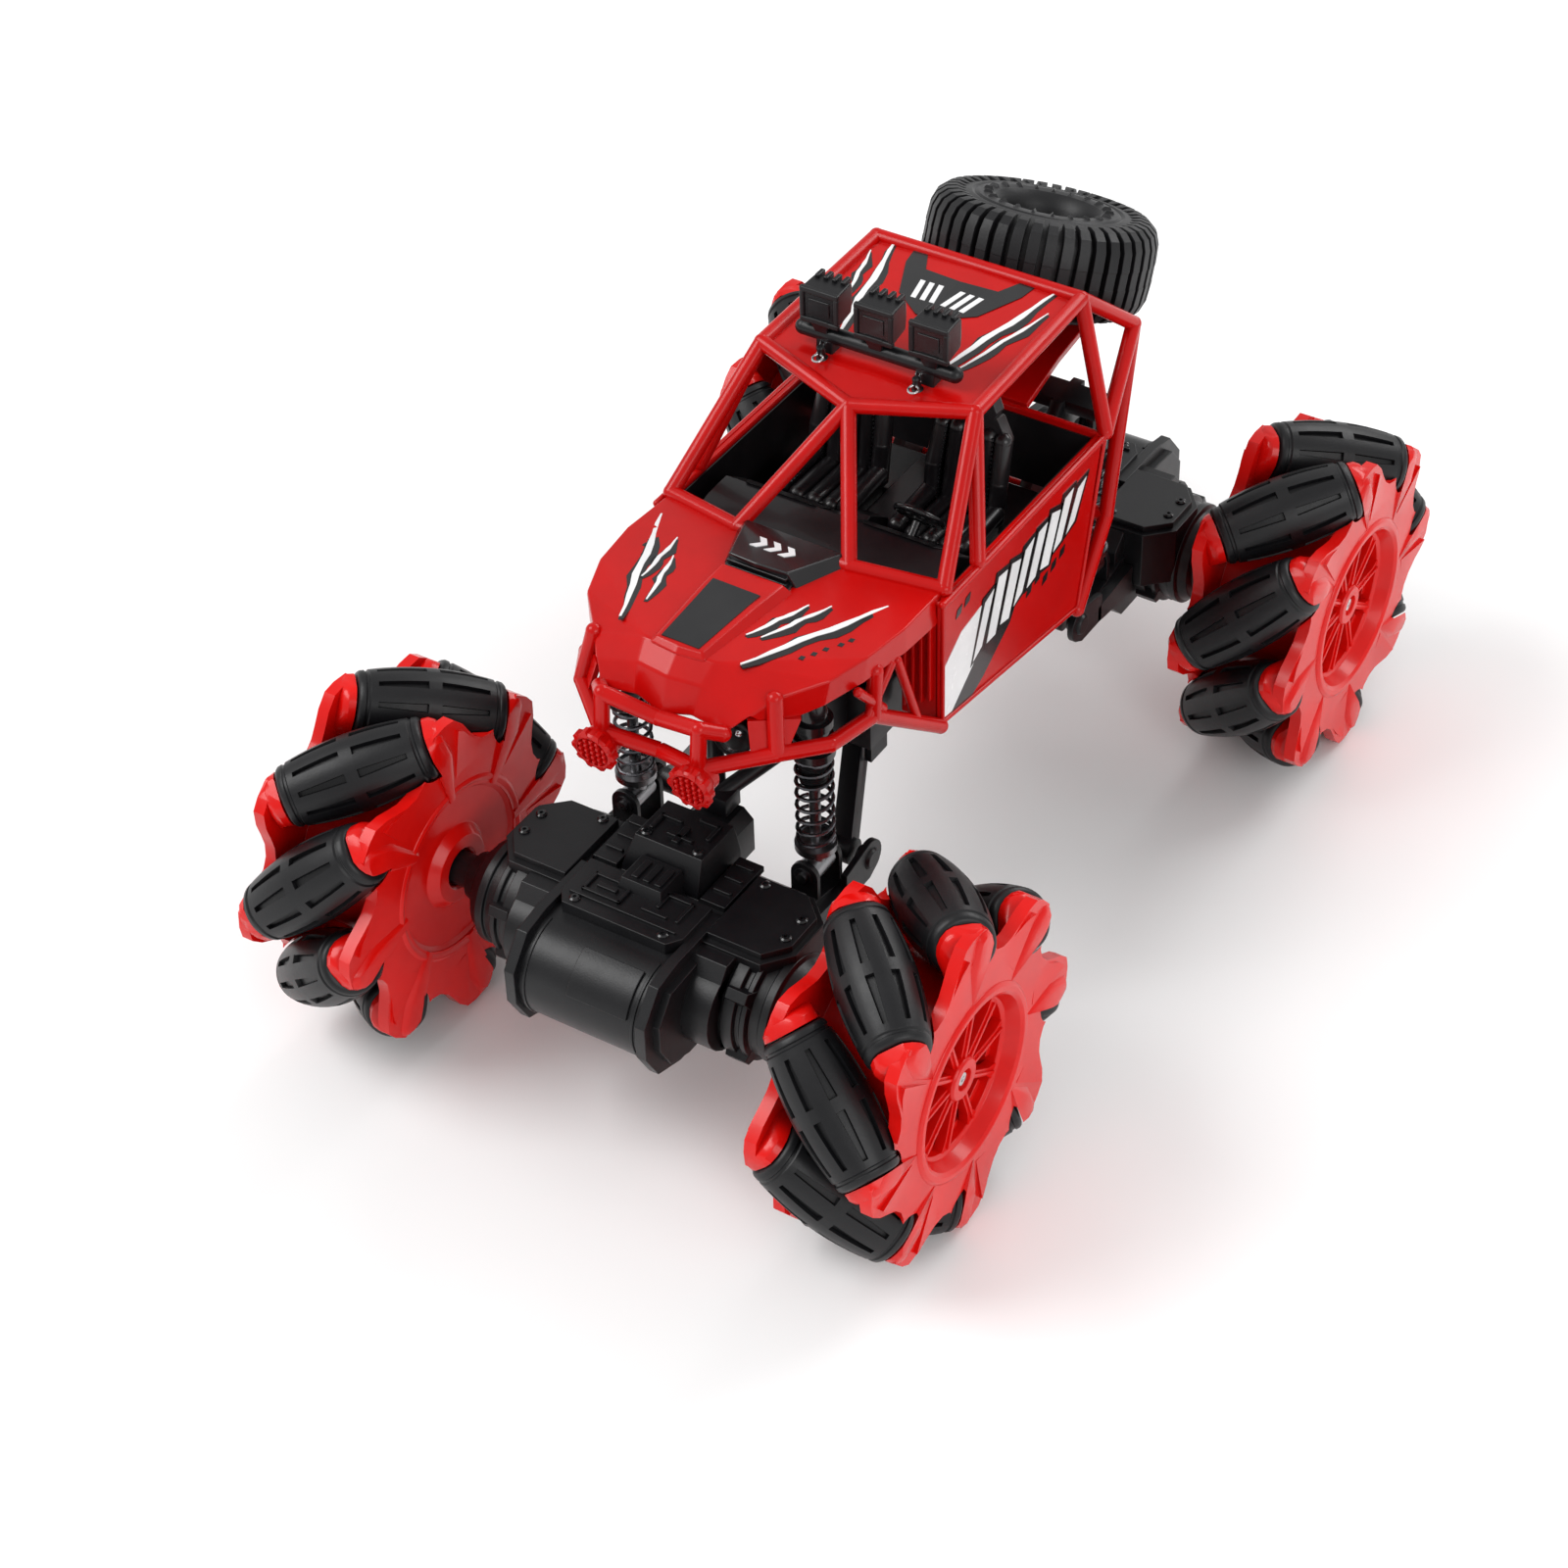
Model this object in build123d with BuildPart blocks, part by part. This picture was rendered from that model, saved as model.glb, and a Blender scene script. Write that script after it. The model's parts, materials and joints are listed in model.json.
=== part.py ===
"""Radio-controlled monster truck with roller wheels for sideways driving.

Frame: millimetres, +Z up, the nose towards -Y, the vehicle's left side towards +X.
The origin is on the ground, midway between the four wheels.
"""

import os
from math import cos, pi, radians, sin, sqrt

from build123d import *

os.makedirs("parts", exist_ok=True)

# ---- driving dimensions ----------------------------------------------------------
wheelbase = 190.0
wheel_middle_x = 67.0  # middle plane of a wheel, from the centre line
wheel_radius = 43.0  # the rolling circle that the rollers make together
wheel_width = 31.0

roller_count = 8
roller_skew = 45.0  # angle between a roller and the wheel's axis
roller_circle = 34.0  # radius at which the rollers' middles sit
roller_length = 34.0
roller_bore = 1.9
roller_pin = 1.5
end_gap = 0.5  # between a roller's end and the lobe that holds it

hub_disc_radius = 32.0
hub_disc_thickness = 3.0
hub_drum_radius = 22.0
hub_dish_radius = 19.5
hub_dish_depth = 5.0
spoke_count = 10
lobe_radius = 7.6
lobe_tip_radius = 41.0

axle_pivot_z = 54.0  # height of the roll axis and of the shocks' lower eyes
shock_x = 24.0
shock_y = 63.0
shock_top_z = 101.0
shock_tube_radius = 3.2
shock_bore = 1.9
shock_rod_radius = 1.3
spring_outer = 4.5
spring_inner = 3.6
spring_seat_z = 59.0  # underside of the seat on the rod
seat_thickness = 1.6
spring_high_z = 86.0

link_chassis_end = (14.0, 29.0, 62.0)  # long lower links
link_axle_end = (23.0, 49.5, 47.5)
arm_chassis_end = (13.0, 47.0, 76.0)  # forked upper arms
arm_apex = (0.0, 65.5, 65.0)
hinge_pin = 1.0
hinge_bore = 1.4

wall = 2.0  # body shell
tube_radius = 1.8  # roll cage
tyre_radius = 27.5  # spare tyre, whose axis leans 22 degrees to the rear
tyre_hole = 10.5
tyre_width = 23.0
spare_place = Location((0, 78.5, 129.0), (-22, 0, 0))

# ---- wheel height, from the roller that stands lowest -----------------------------
skew = radians(roller_skew)
half_roller = roller_length / 2


def roller_radius(s):
    """Radius of a roller at distance s from its middle, so that it rolls on the circle."""
    return wheel_radius - sqrt(roller_circle**2 + (s * sin(skew)) ** 2)


def roller_depth(s, phase):
    """How far below the wheel's axis a roller reaches, at s from its middle."""
    across = s * sin(skew)
    drop = roller_circle * cos(phase) + across * sin(phase)
    tilt = sin(skew) * sin(phase)
    return drop + roller_radius(s) * sqrt(1 - tilt**2)


stand_phase = pi / roller_count  # a lobe points straight down
wheel_z = roller_depth(half_roller, stand_phase)
axle_y = wheelbase / 2


def save(part, label):
    part.label = label
    export_step(part, f"parts/{label}.step")


def rods(points, radius):
    """Adds round bars from point to point, with ball joints, to the current part."""
    points = [Vector(*p) for p in points]
    for a, b in zip(points, points[1:]):
        with BuildSketch(Plane(origin=a, z_dir=b - a)) as section:
            Circle(radius)
        extrude(section.sketch, amount=(b - a).length)
    for p in points:
        with Locations(p):
            Sphere(radius * 1.03)


def plate(corners, direction, thickness):
    """Adds one flat facet, thickened along direction, to the current part."""
    outline = Wire.make_polygon([Vector(*c) for c in corners], close=True)
    extrude(Face(outline), amount=thickness, dir=Vector(*direction))


def mirrored(point):
    return (-point[0], point[1], point[2])


# ---- one roller, along Z ----------------------------------------------------------
with BuildPart() as roller:
    with BuildSketch(Plane.XZ):
        with BuildLine():
            bore_low = (roller_bore, -half_roller)
            rim_low = (roller_radius(half_roller) - 0.8, -half_roller)
            belly_low = (roller_radius(half_roller), -half_roller + 0.8)
            belly = (roller_radius(0), 0)
            belly_high = (belly_low[0], half_roller - 0.8)
            rim_high = (rim_low[0], half_roller)
            bore_high = (roller_bore, half_roller)
            Polyline(belly_high, rim_high, bore_high, bore_low, rim_low, belly_low)
            ThreePointArc(belly_low, belly, belly_high)
        make_face()
    revolve(axis=Axis.Z)


def roller_plane(k, hand):
    """The plane of roller k in a wheel's own frame: its Z is the roller's axis.

    hand is +1 or -1, for the two ways the rollers slant.
    """
    angle = -pi / 2 + (k + 0.5) * 2 * pi / roller_count
    outward = Vector(0, cos(angle), sin(angle))
    along = Vector(0, -sin(angle), cos(angle))
    axis = Vector(cos(skew), 0, 0) + along * (hand * sin(skew))
    return Plane(origin=outward * roller_circle, x_dir=outward, z_dir=axis)


# ---- one wheel hub, about X, its dished face towards +X --------------------------
def make_hub(hand):
    half = wheel_width / 2
    with BuildPart() as hub:
        for x in (-half, half - hub_disc_thickness):
            with BuildSketch(Plane.YZ.offset(x)):
                Circle(hub_disc_radius)
            extrude(amount=hub_disc_thickness)
        with BuildSketch(Plane.YZ.offset(-half)):
            Circle(hub_drum_radius)
        extrude(amount=wheel_width)
        for k in range(roller_count):
            seat = roller_plane(k, hand)
            for end in (-1, 1):
                face = seat.offset(end * (half_roller + end_gap))
                with BuildSketch(face):
                    Circle(lobe_radius)
                extrude(amount=end * 6.5)
        # arms that carry the lobes, trimmed with them to the wheel's width
        for k in range(roller_count):
            angle = -90 + k * 360 / roller_count
            for x in (-half, half - hub_disc_thickness + 0.6):
                with BuildSketch(Plane.YZ.offset(x)):
                    with PolarLocations(31.0, 1, start_angle=angle):
                        Rectangle(14, 7.5)
                extrude(amount=hub_disc_thickness - 0.6)
        with BuildSketch(Plane.YZ.offset(-half)):
            Circle(lobe_tip_radius)
        extrude(amount=wheel_width, mode=Mode.INTERSECT)
        # room for the rollers, then their pins
        for k in range(roller_count):
            seat = roller_plane(k, hand)
            with BuildSketch(seat.offset(-half_roller - end_gap)):
                Circle(roller_radius(0) + 0.6)
            extrude(amount=roller_length + 2 * end_gap, mode=Mode.SUBTRACT)
        for k in range(roller_count):
            seat = roller_plane(k, hand)
            with BuildSketch(seat.offset(-half_roller - end_gap - 1.0)):
                Circle(roller_pin)
            extrude(amount=roller_length + 2 * end_gap + 2.0)
        # outer dish with spokes, and the drive socket on the inner face
        with BuildSketch(Plane.YZ.offset(half - hub_dish_depth)):
            Circle(hub_dish_radius)
        extrude(amount=hub_dish_depth, mode=Mode.SUBTRACT)
        with BuildSketch(Plane.YZ.offset(half - hub_dish_depth)):
            Circle(4.5)
            for k in range(spoke_count):
                with PolarLocations(11.0, 1, start_angle=k * 360 / spoke_count):
                    Rectangle(18.5, 1.6)
        extrude(amount=3.0)
        with BuildSketch(Plane.YZ.offset(-half)):
            Circle(4.4)
        extrude(amount=9.0, mode=Mode.SUBTRACT)
    return hub.part


hubs = {hand: make_hub(hand) for hand in (1, -1)}

wheels = (
    ("front_left", 1, -1, 1),
    ("front_right", -1, -1, -1),
    ("rear_left", 1, 1, -1),
    ("rear_right", -1, 1, 1),
)
for name, side, end, hand in wheels:
    # a wheel on the right is the left one turned half a turn about Z, which keeps its hand
    turn = 0 if side > 0 else 180
    spot = Location((side * wheel_middle_x, end * axle_y, wheel_z), (0, 0, turn))
    save(hubs[hand].moved(spot), f"wheel_hub_{name}")
    for k in range(roller_count):
        seat = spot * roller_plane(k, hand).location
        save(roller.part.moved(seat), f"roller_{name}_{k + 1}")

# ---- axles: housing, motors, yoke, arms, links, shock rods -------------------------
gear_case_radius = 12.5
gear_case_y = 95.0
ear_gap = 3.9
ear_thickness = 1.4
bearing_radius = 3.4
yoke_pin_radius = 3.0
motor_radius = 7.5
motor_bore = 7.9
motor_y = 92.0
motor_z = 43.5
axle_stub_radius = 4.0


def box(x0, x1, y0, y1, z0, z1, end=1, mode=Mode.ADD):
    """Adds a box between two corners; end = -1 mirrors it to the front of the truck."""
    y0, y1 = sorted((end * y0, end * y1))
    with Locations(((x0 + x1) / 2, (y0 + y1) / 2, (z0 + z1) / 2)):
        Box(x1 - x0, y1 - y0, z1 - z0, mode=mode)


def bar_x(y, z, radius, x0, x1, end=1, mode=Mode.ADD):
    """Adds a round bar along X."""
    with BuildSketch(Plane.YZ.offset(x0)) as section:
        with Locations((end * y, z)):
            Circle(radius)
    extrude(section.sketch, amount=x1 - x0, mode=mode)


def bar_y(x, z, radius, y0, y1, end=1, mode=Mode.ADD):
    """Adds a round bar along Y."""
    with BuildSketch(Plane.XZ.offset(-end * y0)) as section:
        with Locations((x, z)):
            Circle(radius)
    extrude(section.sketch, amount=-end * (y1 - y0), mode=mode)


def bar_z(x, y, radius, z0, z1, end=1, mode=Mode.ADD):
    """Adds a round bar along Z."""
    with BuildSketch(Plane.XY.offset(z0)) as section:
        with Locations((x, end * y)):
            Circle(radius)
    extrude(section.sketch, amount=z1 - z0, mode=mode)


def make_housing(end):
    fork_low, fork_high = shock_y - ear_gap - ear_thickness, shock_y + ear_gap + ear_thickness
    with BuildPart() as housing:
        box(-27, 27, 72, 108, 31, 57, end)
        chamfer(housing.edges().filter_by(Axis.X), 4)
        # nose drum with a square shoulder
        bar_x(110, 44.5, 12.5, -16, 16, end)
        box(-16, 16, 96, 110, 32, 57, end)
        box(-16, 16, 92, 106, 50, 60, end)
        # stepped bearing housing in the middle
        box(-10, 10, 72, 88, 48, 65, end)
        box(-6, 6, 88, 98, 50, 62.5, end)
        for side in (-1, 1):
            inner, outer = sorted((side * 26, side * 41))
            bar_x(gear_case_y, wheel_z, gear_case_radius, inner, outer, end)
            inner, outer = sorted((side * 28, side * 33))
            bar_x(gear_case_y, wheel_z, gear_case_radius + 1.6, inner, outer, end)
            inner, outer = sorted((side * 18, side * 38))
            box(inner, outer, 78, 100, 42, 59, end)
            inner, outer = sorted((side * 41, side * 57))
            bar_x(gear_case_y, wheel_z, axle_stub_radius, inner, outer, end)
            # fork for the shock's lower eye, with its pin
            x0, x1 = side * shock_x - 3.5, side * shock_x + 3.5
            box(x0, x1, fork_low, fork_low + ear_thickness, 44, 57, end)
            box(x0, x1, fork_high - ear_thickness, fork_high, 44, 57, end)
            box(x0, x1, fork_low, 74, 42, 47, end)
            bar_y(side * shock_x, axle_pivot_z, 1.2, fork_low + 0.5, fork_high - 0.5, end)
            # lug beside the long link
            inner, outer = sorted((side * 27, side * 30))
            box(inner, outer, 58, 74, 42, 47, end)
            inner, outer = sorted((side * 28.5, side * 30))
            box(inner, outer, 45, 60, 42, 52, end)
        for side in (-1, 1):
            inner, outer = sorted((side * 3, side * 24))
            bar_x(motor_y, motor_z, motor_bore, inner, outer, end, mode=Mode.SUBTRACT)
        bar_y(0, axle_pivot_z, bearing_radius, 71, 82, end, mode=Mode.SUBTRACT)
    return housing.part


def make_motors(end):
    with BuildPart() as motors:
        for side in (-1, 1):
            inner, outer = sorted((side * 4, side * 23.5))
            bar_x(motor_y, motor_z, motor_radius, inner, outer, end)
    return motors.part


def make_yoke(end):
    """The bearing block that follows the suspension and carries the axle's roll pin."""
    with BuildPart() as yoke:
        box(-7, 7, 62, 71, 47, 61, end)
        chamfer(yoke.edges().filter_by(Axis.Y), 2.5)
        bar_y(0, axle_pivot_z, yoke_pin_radius, 70, 81, end)
    return yoke.part


def make_upper_arm(end):
    """The forked arm from two chassis pivots to an apex over the yoke."""
    x, y, z = arm_chassis_end
    with BuildPart() as arm:
        for side in (-1, 1):
            rods([(side * x, end * y, z), (0, end * arm_apex[1], arm_apex[2])], 2.0)
            bar_x(y, z, 2.6, side * x - 2.5, side * x + 2.5, end)
        box(-4, 4, arm_apex[1] - 3, arm_apex[1] + 3, 62.4, 67, end)
        for side in (-1, 1):
            bar_x(y, z, hinge_bore, side * x - 3, side * x + 3, end, mode=Mode.SUBTRACT)
    return arm.part


def make_links(end):
    """Two long lower links with an eye at each end, closer together at the chassis."""
    with BuildPart() as links:
        for side in (-1, 1):
            x0, y0, z0 = link_chassis_end
            x1, y1, z1 = link_axle_end
            a, b = Vector(side * x0, end * y0, z0), Vector(side * x1, end * y1, z1)
            with BuildSketch(Plane(origin=a, x_dir=(1, 0, 0), z_dir=b - a)) as section:
                Rectangle(4.6, 5.2)
            extrude(section.sketch, amount=(b - a).length)
            bar_x(y0, z0, 3.2, side * x0 - 2.5, side * x0 + 2.5, end)
            bar_x(y1, z1, 3.2, side * x1 - 2.5, side * x1 + 2.5, end)
            bar_x(y0, z0, hinge_bore, side * x0 - 6, side * x0 + 6, end, mode=Mode.SUBTRACT)
    return links.part


def make_shock_rod(end, side):
    x = side * shock_x
    seat_top = spring_seat_z + seat_thickness
    with BuildPart() as rod:
        bar_z(x, shock_y, shock_rod_radius, axle_pivot_z, shock_top_z - 12.5, end)
        bar_z(x, shock_y, spring_outer + 0.3, spring_seat_z, seat_top, end)
        bar_z(x, shock_y, 2.4, axle_pivot_z + 1, spring_seat_z + 1, end)
        bar_y(x, axle_pivot_z, 2.9, shock_y - 3.5, shock_y + 3.5, end)
        bar_y(x, axle_pivot_z, 1.55, shock_y - 4, shock_y + 4, end, mode=Mode.SUBTRACT)
    return rod.part


for end, name in ((-1, "front"), (1, "rear")):
    save(make_housing(end), f"{name}_axle_housing")
    save(make_motors(end), f"{name}_motors")
    save(make_yoke(end), f"{name}_yoke")
    save(make_upper_arm(end), f"{name}_upper_arm")
    save(make_links(end), f"{name}_links")
    for side, side_name in ((1, "left"), (-1, "right")):
        save(make_shock_rod(end, side), f"{name}_shock_rod_{side_name}")

# ---- shock bodies and springs, all four together ----------------------------------
shocks = [(side * shock_x, end * shock_y) for side in (-1, 1) for end in (-1, 1)]
shock_low_z = shock_top_z - 23.0
spring_low_z = spring_seat_z + seat_thickness + 0.2

with BuildPart() as shock_cylinders:
    for x, y in shocks:
        bar_z(x, y, shock_tube_radius, shock_low_z, shock_top_z)
        bar_z(x, y, spring_outer + 0.3, spring_high_z, spring_high_z + 2)
        bar_z(x, y, spring_outer, shock_top_z - 7, shock_top_z - 5)
        bar_z(x, y, shock_bore, shock_low_z - 1, shock_top_z - 3.5, mode=Mode.SUBTRACT)
save(shock_cylinders.part, "shock_cylinders")

with BuildPart() as shock_springs:
    for x, y in shocks:
        bar_z(x, y, spring_outer, spring_low_z, spring_high_z)
        bar_z(x, y, spring_inner, spring_low_z, spring_high_z, mode=Mode.SUBTRACT)
save(shock_springs.part, "shock_springs")

# ---- chassis tub, battery, circuit board ------------------------------------------
tub_half_width = 25.0
tub_half_length = 41.0
tub_floor_z = 68.0
tub_rim_z = 86.0
rail_x = (15.9, 18.9)

with BuildPart() as chassis_tub:
    box(-tub_half_width, tub_half_width, -tub_half_length, tub_half_length, tub_floor_z, tub_rim_z)
    chamfer(chassis_tub.edges().group_by(Axis.Z)[0], 3)
    inside = (tub_half_width - 2.5, tub_half_length - 2.5)
    box(-inside[0], inside[0], -inside[1], inside[1], tub_floor_z + 2, 90, mode=Mode.SUBTRACT)
    for side in (-1, 1):
        # flange that carries the body, and posts for the circuit board
        inner, outer = sorted((side * 24, side * 34.6))
        box(inner, outer, -28, 28, tub_rim_z - 2.5, tub_rim_z)
        for y in (-20, 20):
            bar_z(side * 20, y, 2.2, tub_floor_z + 1, 87.2)
        for end in (-1, 1):
            # rail that reaches out to the shock tower
            with BuildSketch(Plane.YZ.offset(min(side * rail_x[0], side * rail_x[1]))):
                with BuildLine():
                    Polyline(
                        (end * 38, 72),
                        (end * 49, 72),
                        (end * 49, 80),
                        (end * 68, 96),
                        (end * 68, shock_top_z + 3),
                        (end * 57, shock_top_z + 3),
                        (end * 38, 84),
                        close=True,
                    )
                make_face()
            extrude(amount=rail_x[1] - rail_x[0])
            # ears and pin of the upper arm, below them those of the long link
            x, y, z = arm_chassis_end
            inner, outer = sorted((side * 6.4, side * 8.4))
            box(inner, outer, 40, y + 2.5, z - 3, z + 3, end)
            inner, outer = sorted((side * 7, side * 17))
            bar_x(y, z, hinge_pin, inner, outer, end)
            x, y, z = link_chassis_end
            for ear_x in (x - 5, x + 5):
                box(side * ear_x - 0.9, side * ear_x + 0.9, y - 3.5, y + 3.5, z - 3, tub_floor_z + 1, end)
            bar_x(y, z, hinge_pin, side * x - 5.2, side * x + 5.2, end)
    for end in (-1, 1):
        box(-27, 27, shock_y - 5, shock_y + 3, shock_top_z, shock_top_z + 3, end)
save(chassis_tub.part, "chassis_tub")

with BuildPart() as battery_pack:
    box(-16, 16, -30, 30, 70.4, 84)
    fillet(battery_pack.edges().filter_by(Axis.Y), 4)
save(battery_pack.part, "battery_pack")

with BuildPart() as circuit_board:
    box(-21.5, 21.5, -24, 24, 87.2, 88.8)
    box(-8, 4, -16, -4, 88.8, 91)
    box(8, 16, 4, 14, 88.8, 90.4)
    bar_z(-14, 14, 2.5, 88.8, 91.4)
save(circuit_board.part, "circuit_board")

# ---- body: corner points of the left side, mirrored for the right -----------------
roof_front = (27.5, 0, 138.5)
roof_peak = (0, -8, 135.5)
roof_rear = (27, 49, 140)
screen_base = (35.5, -27, 111)
screen_inner = (14.5, -32, 112.4)
hood_corner = (34, -60, 112)
hood_front = (9, -77, 114.5)
nose_shoulder = (23, -76, 109.5)
nose_low = (15.7, -85, 103.5)
nose_tip = (7, -84, 104)
nose_chin = (0, -76, 93)
belt_front = (37, -31, 110)
belt_rear = (37, 44, 110)
sill_front = (37, -31, 76)
sill_rear = (37, 33, 66)
tail_top = (31, 68, 124)
tail_mid = (34, 52, 80)
door_foot = (36.5, -14, 110.5)
down = (0, 0, -1)

with BuildPart() as body_shell:
    plate([screen_inner, mirrored(screen_inner), mirrored(hood_front), hood_front], down, wall)
    plate([hood_front, mirrored(hood_front), mirrored(nose_tip), nose_tip], down, wall)
    plate([nose_tip, mirrored(nose_tip), nose_chin], (0, 1, 0), wall)
    plate([roof_front, mirrored(roof_front), mirrored(roof_rear), roof_rear], down, wall)
    plate([roof_front, roof_peak, mirrored(roof_front)], down, wall)
    for flip in (False, True):
        side = -1 if flip else 1

        def at(point):
            return mirrored(point) if flip else point

        skirt_rear = (36.2, -31, 104)
        skirt_corner = (33.5, -60, 106)
        skirt_front = (22.5, -77, 102)
        top_facets = (
            (screen_base, screen_inner, hood_corner),
            (screen_inner, hood_front, hood_corner),
            (hood_front, nose_shoulder, hood_corner),
            (hood_front, nose_tip, nose_shoulder),
            (nose_tip, nose_low, nose_shoulder),
        )
        for facet in top_facets:
            plate([at(p) for p in facet], down, wall)
        inward = (-side, 0, 0)
        for facet in (
            (screen_base, hood_corner, skirt_corner),
            (screen_base, skirt_corner, skirt_rear),
            (hood_corner, nose_shoulder, skirt_front),
            (hood_corner, skirt_front, skirt_corner),
        ):
            plate([at(p) for p in facet], inward, wall)
        plate([at(p) for p in (belt_front, belt_rear, sill_rear, sill_front)], inward, wall)
        x0, x1 = sorted((side * 27, side * 37))
        box(x0, x1, -31, -29, 76, 110)
        x0, x1 = sorted((side * 33, side * 37))
        box(x0, x1, -31, -26, 100, 111)
    back_low = (37, 39.75, 93)
    plate([belt_rear, mirrored(belt_rear), mirrored(back_low), back_low], (0, -1, 0), wall)
    box(-37, 37, 42, 46, 108, 110)
    box(-16, 16, 45, 92, 108, 110)
    # seat and stud of the spare tyre, square to its leaning axis
    with BuildSketch(Plane(spare_place).offset(-tyre_width / 2 - 1.5)):
        Circle(19)
    extrude(amount=1.5)
    with BuildSketch(Plane(spare_place).offset(-21)):
        Circle(4)
    extrude(amount=28)
save(body_shell.part, "body_shell")

bumper_end = (12.3, -89, 106)
bumper_low = (12.3, -90, 96)
fender_front = (25, -79, 97.5)
fender_side = (31.5, -68, 95)
fender_rear = (34, -54.5, 94.5)
fender_top = (34, -53.5, 106)

with BuildPart() as roll_cage:
    for flip in (False, True):

        def at(point):
            return mirrored(point) if flip else point

        runs = (
            (screen_base, roof_front, roof_rear, belt_rear),
            (screen_inner, roof_peak, roof_front),
            (door_foot, roof_front),
            (roof_rear, tail_top, belt_rear),
            (tail_top, tail_mid, sill_rear),
            (nose_low, bumper_end, bumper_low),
            (bumper_low, fender_front, fender_side, fender_rear, sill_front),
            (fender_front, nose_shoulder),
            (fender_rear, fender_top),
        )
        for run in runs:
            rods([at(p) for p in run], tube_radius)
    rods([bumper_end, (0, -86, 102), mirrored(bumper_end)], tube_radius)
    rods([bumper_low, (0, -86, 93), mirrored(bumper_low)], tube_radius)
    rods([screen_base, screen_inner, mirrored(screen_inner), mirrored(screen_base)], tube_radius)
    rods([roof_rear, mirrored(roof_rear)], tube_radius)
    rods([tail_mid, mirrored(tail_mid)], tube_radius)
    for side in (-1, 1):
        bar_y(side * 12.3, 93.5, 4.0, -93, -88)
save(roll_cage.part, "roll_cage")

# ---- interior, light bar, spare tyre ----------------------------------------------
with BuildPart() as interior_tray:
    box(-32, 32, -28.5, 36, 92, 94)
    with BuildSketch(Plane.YZ.offset(-30)):
        with BuildLine():
            Polyline((-27, 93), (-27, 106), (-12, 109), (-5, 103), (-5, 93), close=True)
        make_face()
    extrude(amount=60)
    for side in (-1, 1):
        x0, x1 = sorted((side * 4, side * 27))
        box(x0, x1, 0, 18, 93, 101)
        with BuildSketch(Plane.YZ.offset(x0)):
            with BuildLine():
                Polyline((14, 94), (20, 94), (25, 128), (20, 128), close=True)
            make_face()
        extrude(amount=x1 - x0)
save(interior_tray.part, "interior_tray")

lamp_pitch = 14.0
with BuildPart() as light_bar:
    rods([(-18, 5, 142.5), (18, 5, 142.5)], 2.0)
    for x in (-16, 16):
        box(x - 1.5, x + 1.5, 3.5, 6.5, 138.9, 142.5)
    for k in (-1, 0, 1):
        x = k * lamp_pitch
        box(x - 1.5, x + 1.5, 4, 8, 142, 147)
        box(x - 5.5, x + 5.5, 2.5, 11, 145.5, 155.5)
save(light_bar.part, "light_bar")

with BuildPart() as spare_tyre:
    with BuildSketch(Plane.XZ):
        with Locations(((tyre_radius + tyre_hole) / 2, 0)):
            RectangleRounded(tyre_radius - tyre_hole, tyre_width, 6)
    revolve(axis=Axis.Z)
save(spare_tyre.part.moved(spare_place), "spare_tyre")
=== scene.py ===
import json
from math import atan2, cos, hypot, pi, radians, sin, tau

import bmesh
import bpy
from mathutils import Matrix, Vector


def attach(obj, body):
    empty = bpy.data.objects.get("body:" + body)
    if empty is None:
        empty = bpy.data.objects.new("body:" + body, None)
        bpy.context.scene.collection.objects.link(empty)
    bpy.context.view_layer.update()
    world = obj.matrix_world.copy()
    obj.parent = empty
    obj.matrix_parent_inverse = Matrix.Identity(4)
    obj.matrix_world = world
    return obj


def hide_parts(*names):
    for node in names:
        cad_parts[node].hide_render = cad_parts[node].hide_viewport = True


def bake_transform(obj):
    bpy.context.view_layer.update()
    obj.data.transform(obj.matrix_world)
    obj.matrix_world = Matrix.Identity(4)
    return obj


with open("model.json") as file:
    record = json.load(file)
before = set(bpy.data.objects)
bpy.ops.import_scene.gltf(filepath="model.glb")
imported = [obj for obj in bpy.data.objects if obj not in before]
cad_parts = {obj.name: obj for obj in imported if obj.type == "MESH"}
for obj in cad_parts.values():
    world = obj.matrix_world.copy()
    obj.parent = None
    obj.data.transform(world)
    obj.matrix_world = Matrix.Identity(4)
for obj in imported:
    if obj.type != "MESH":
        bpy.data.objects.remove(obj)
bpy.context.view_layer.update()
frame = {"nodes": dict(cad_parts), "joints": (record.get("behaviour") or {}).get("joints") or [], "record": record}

MM = 0.001  # pieces are drawn in millimetres
SIDES = (1, -1)  # the vehicle's left, then its right
HANDS = (("left", 1), ("right", -1))
nodes = frame["nodes"]
joints = {joint["name"]: joint for joint in frame["joints"]}
scene = bpy.context.scene


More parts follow.
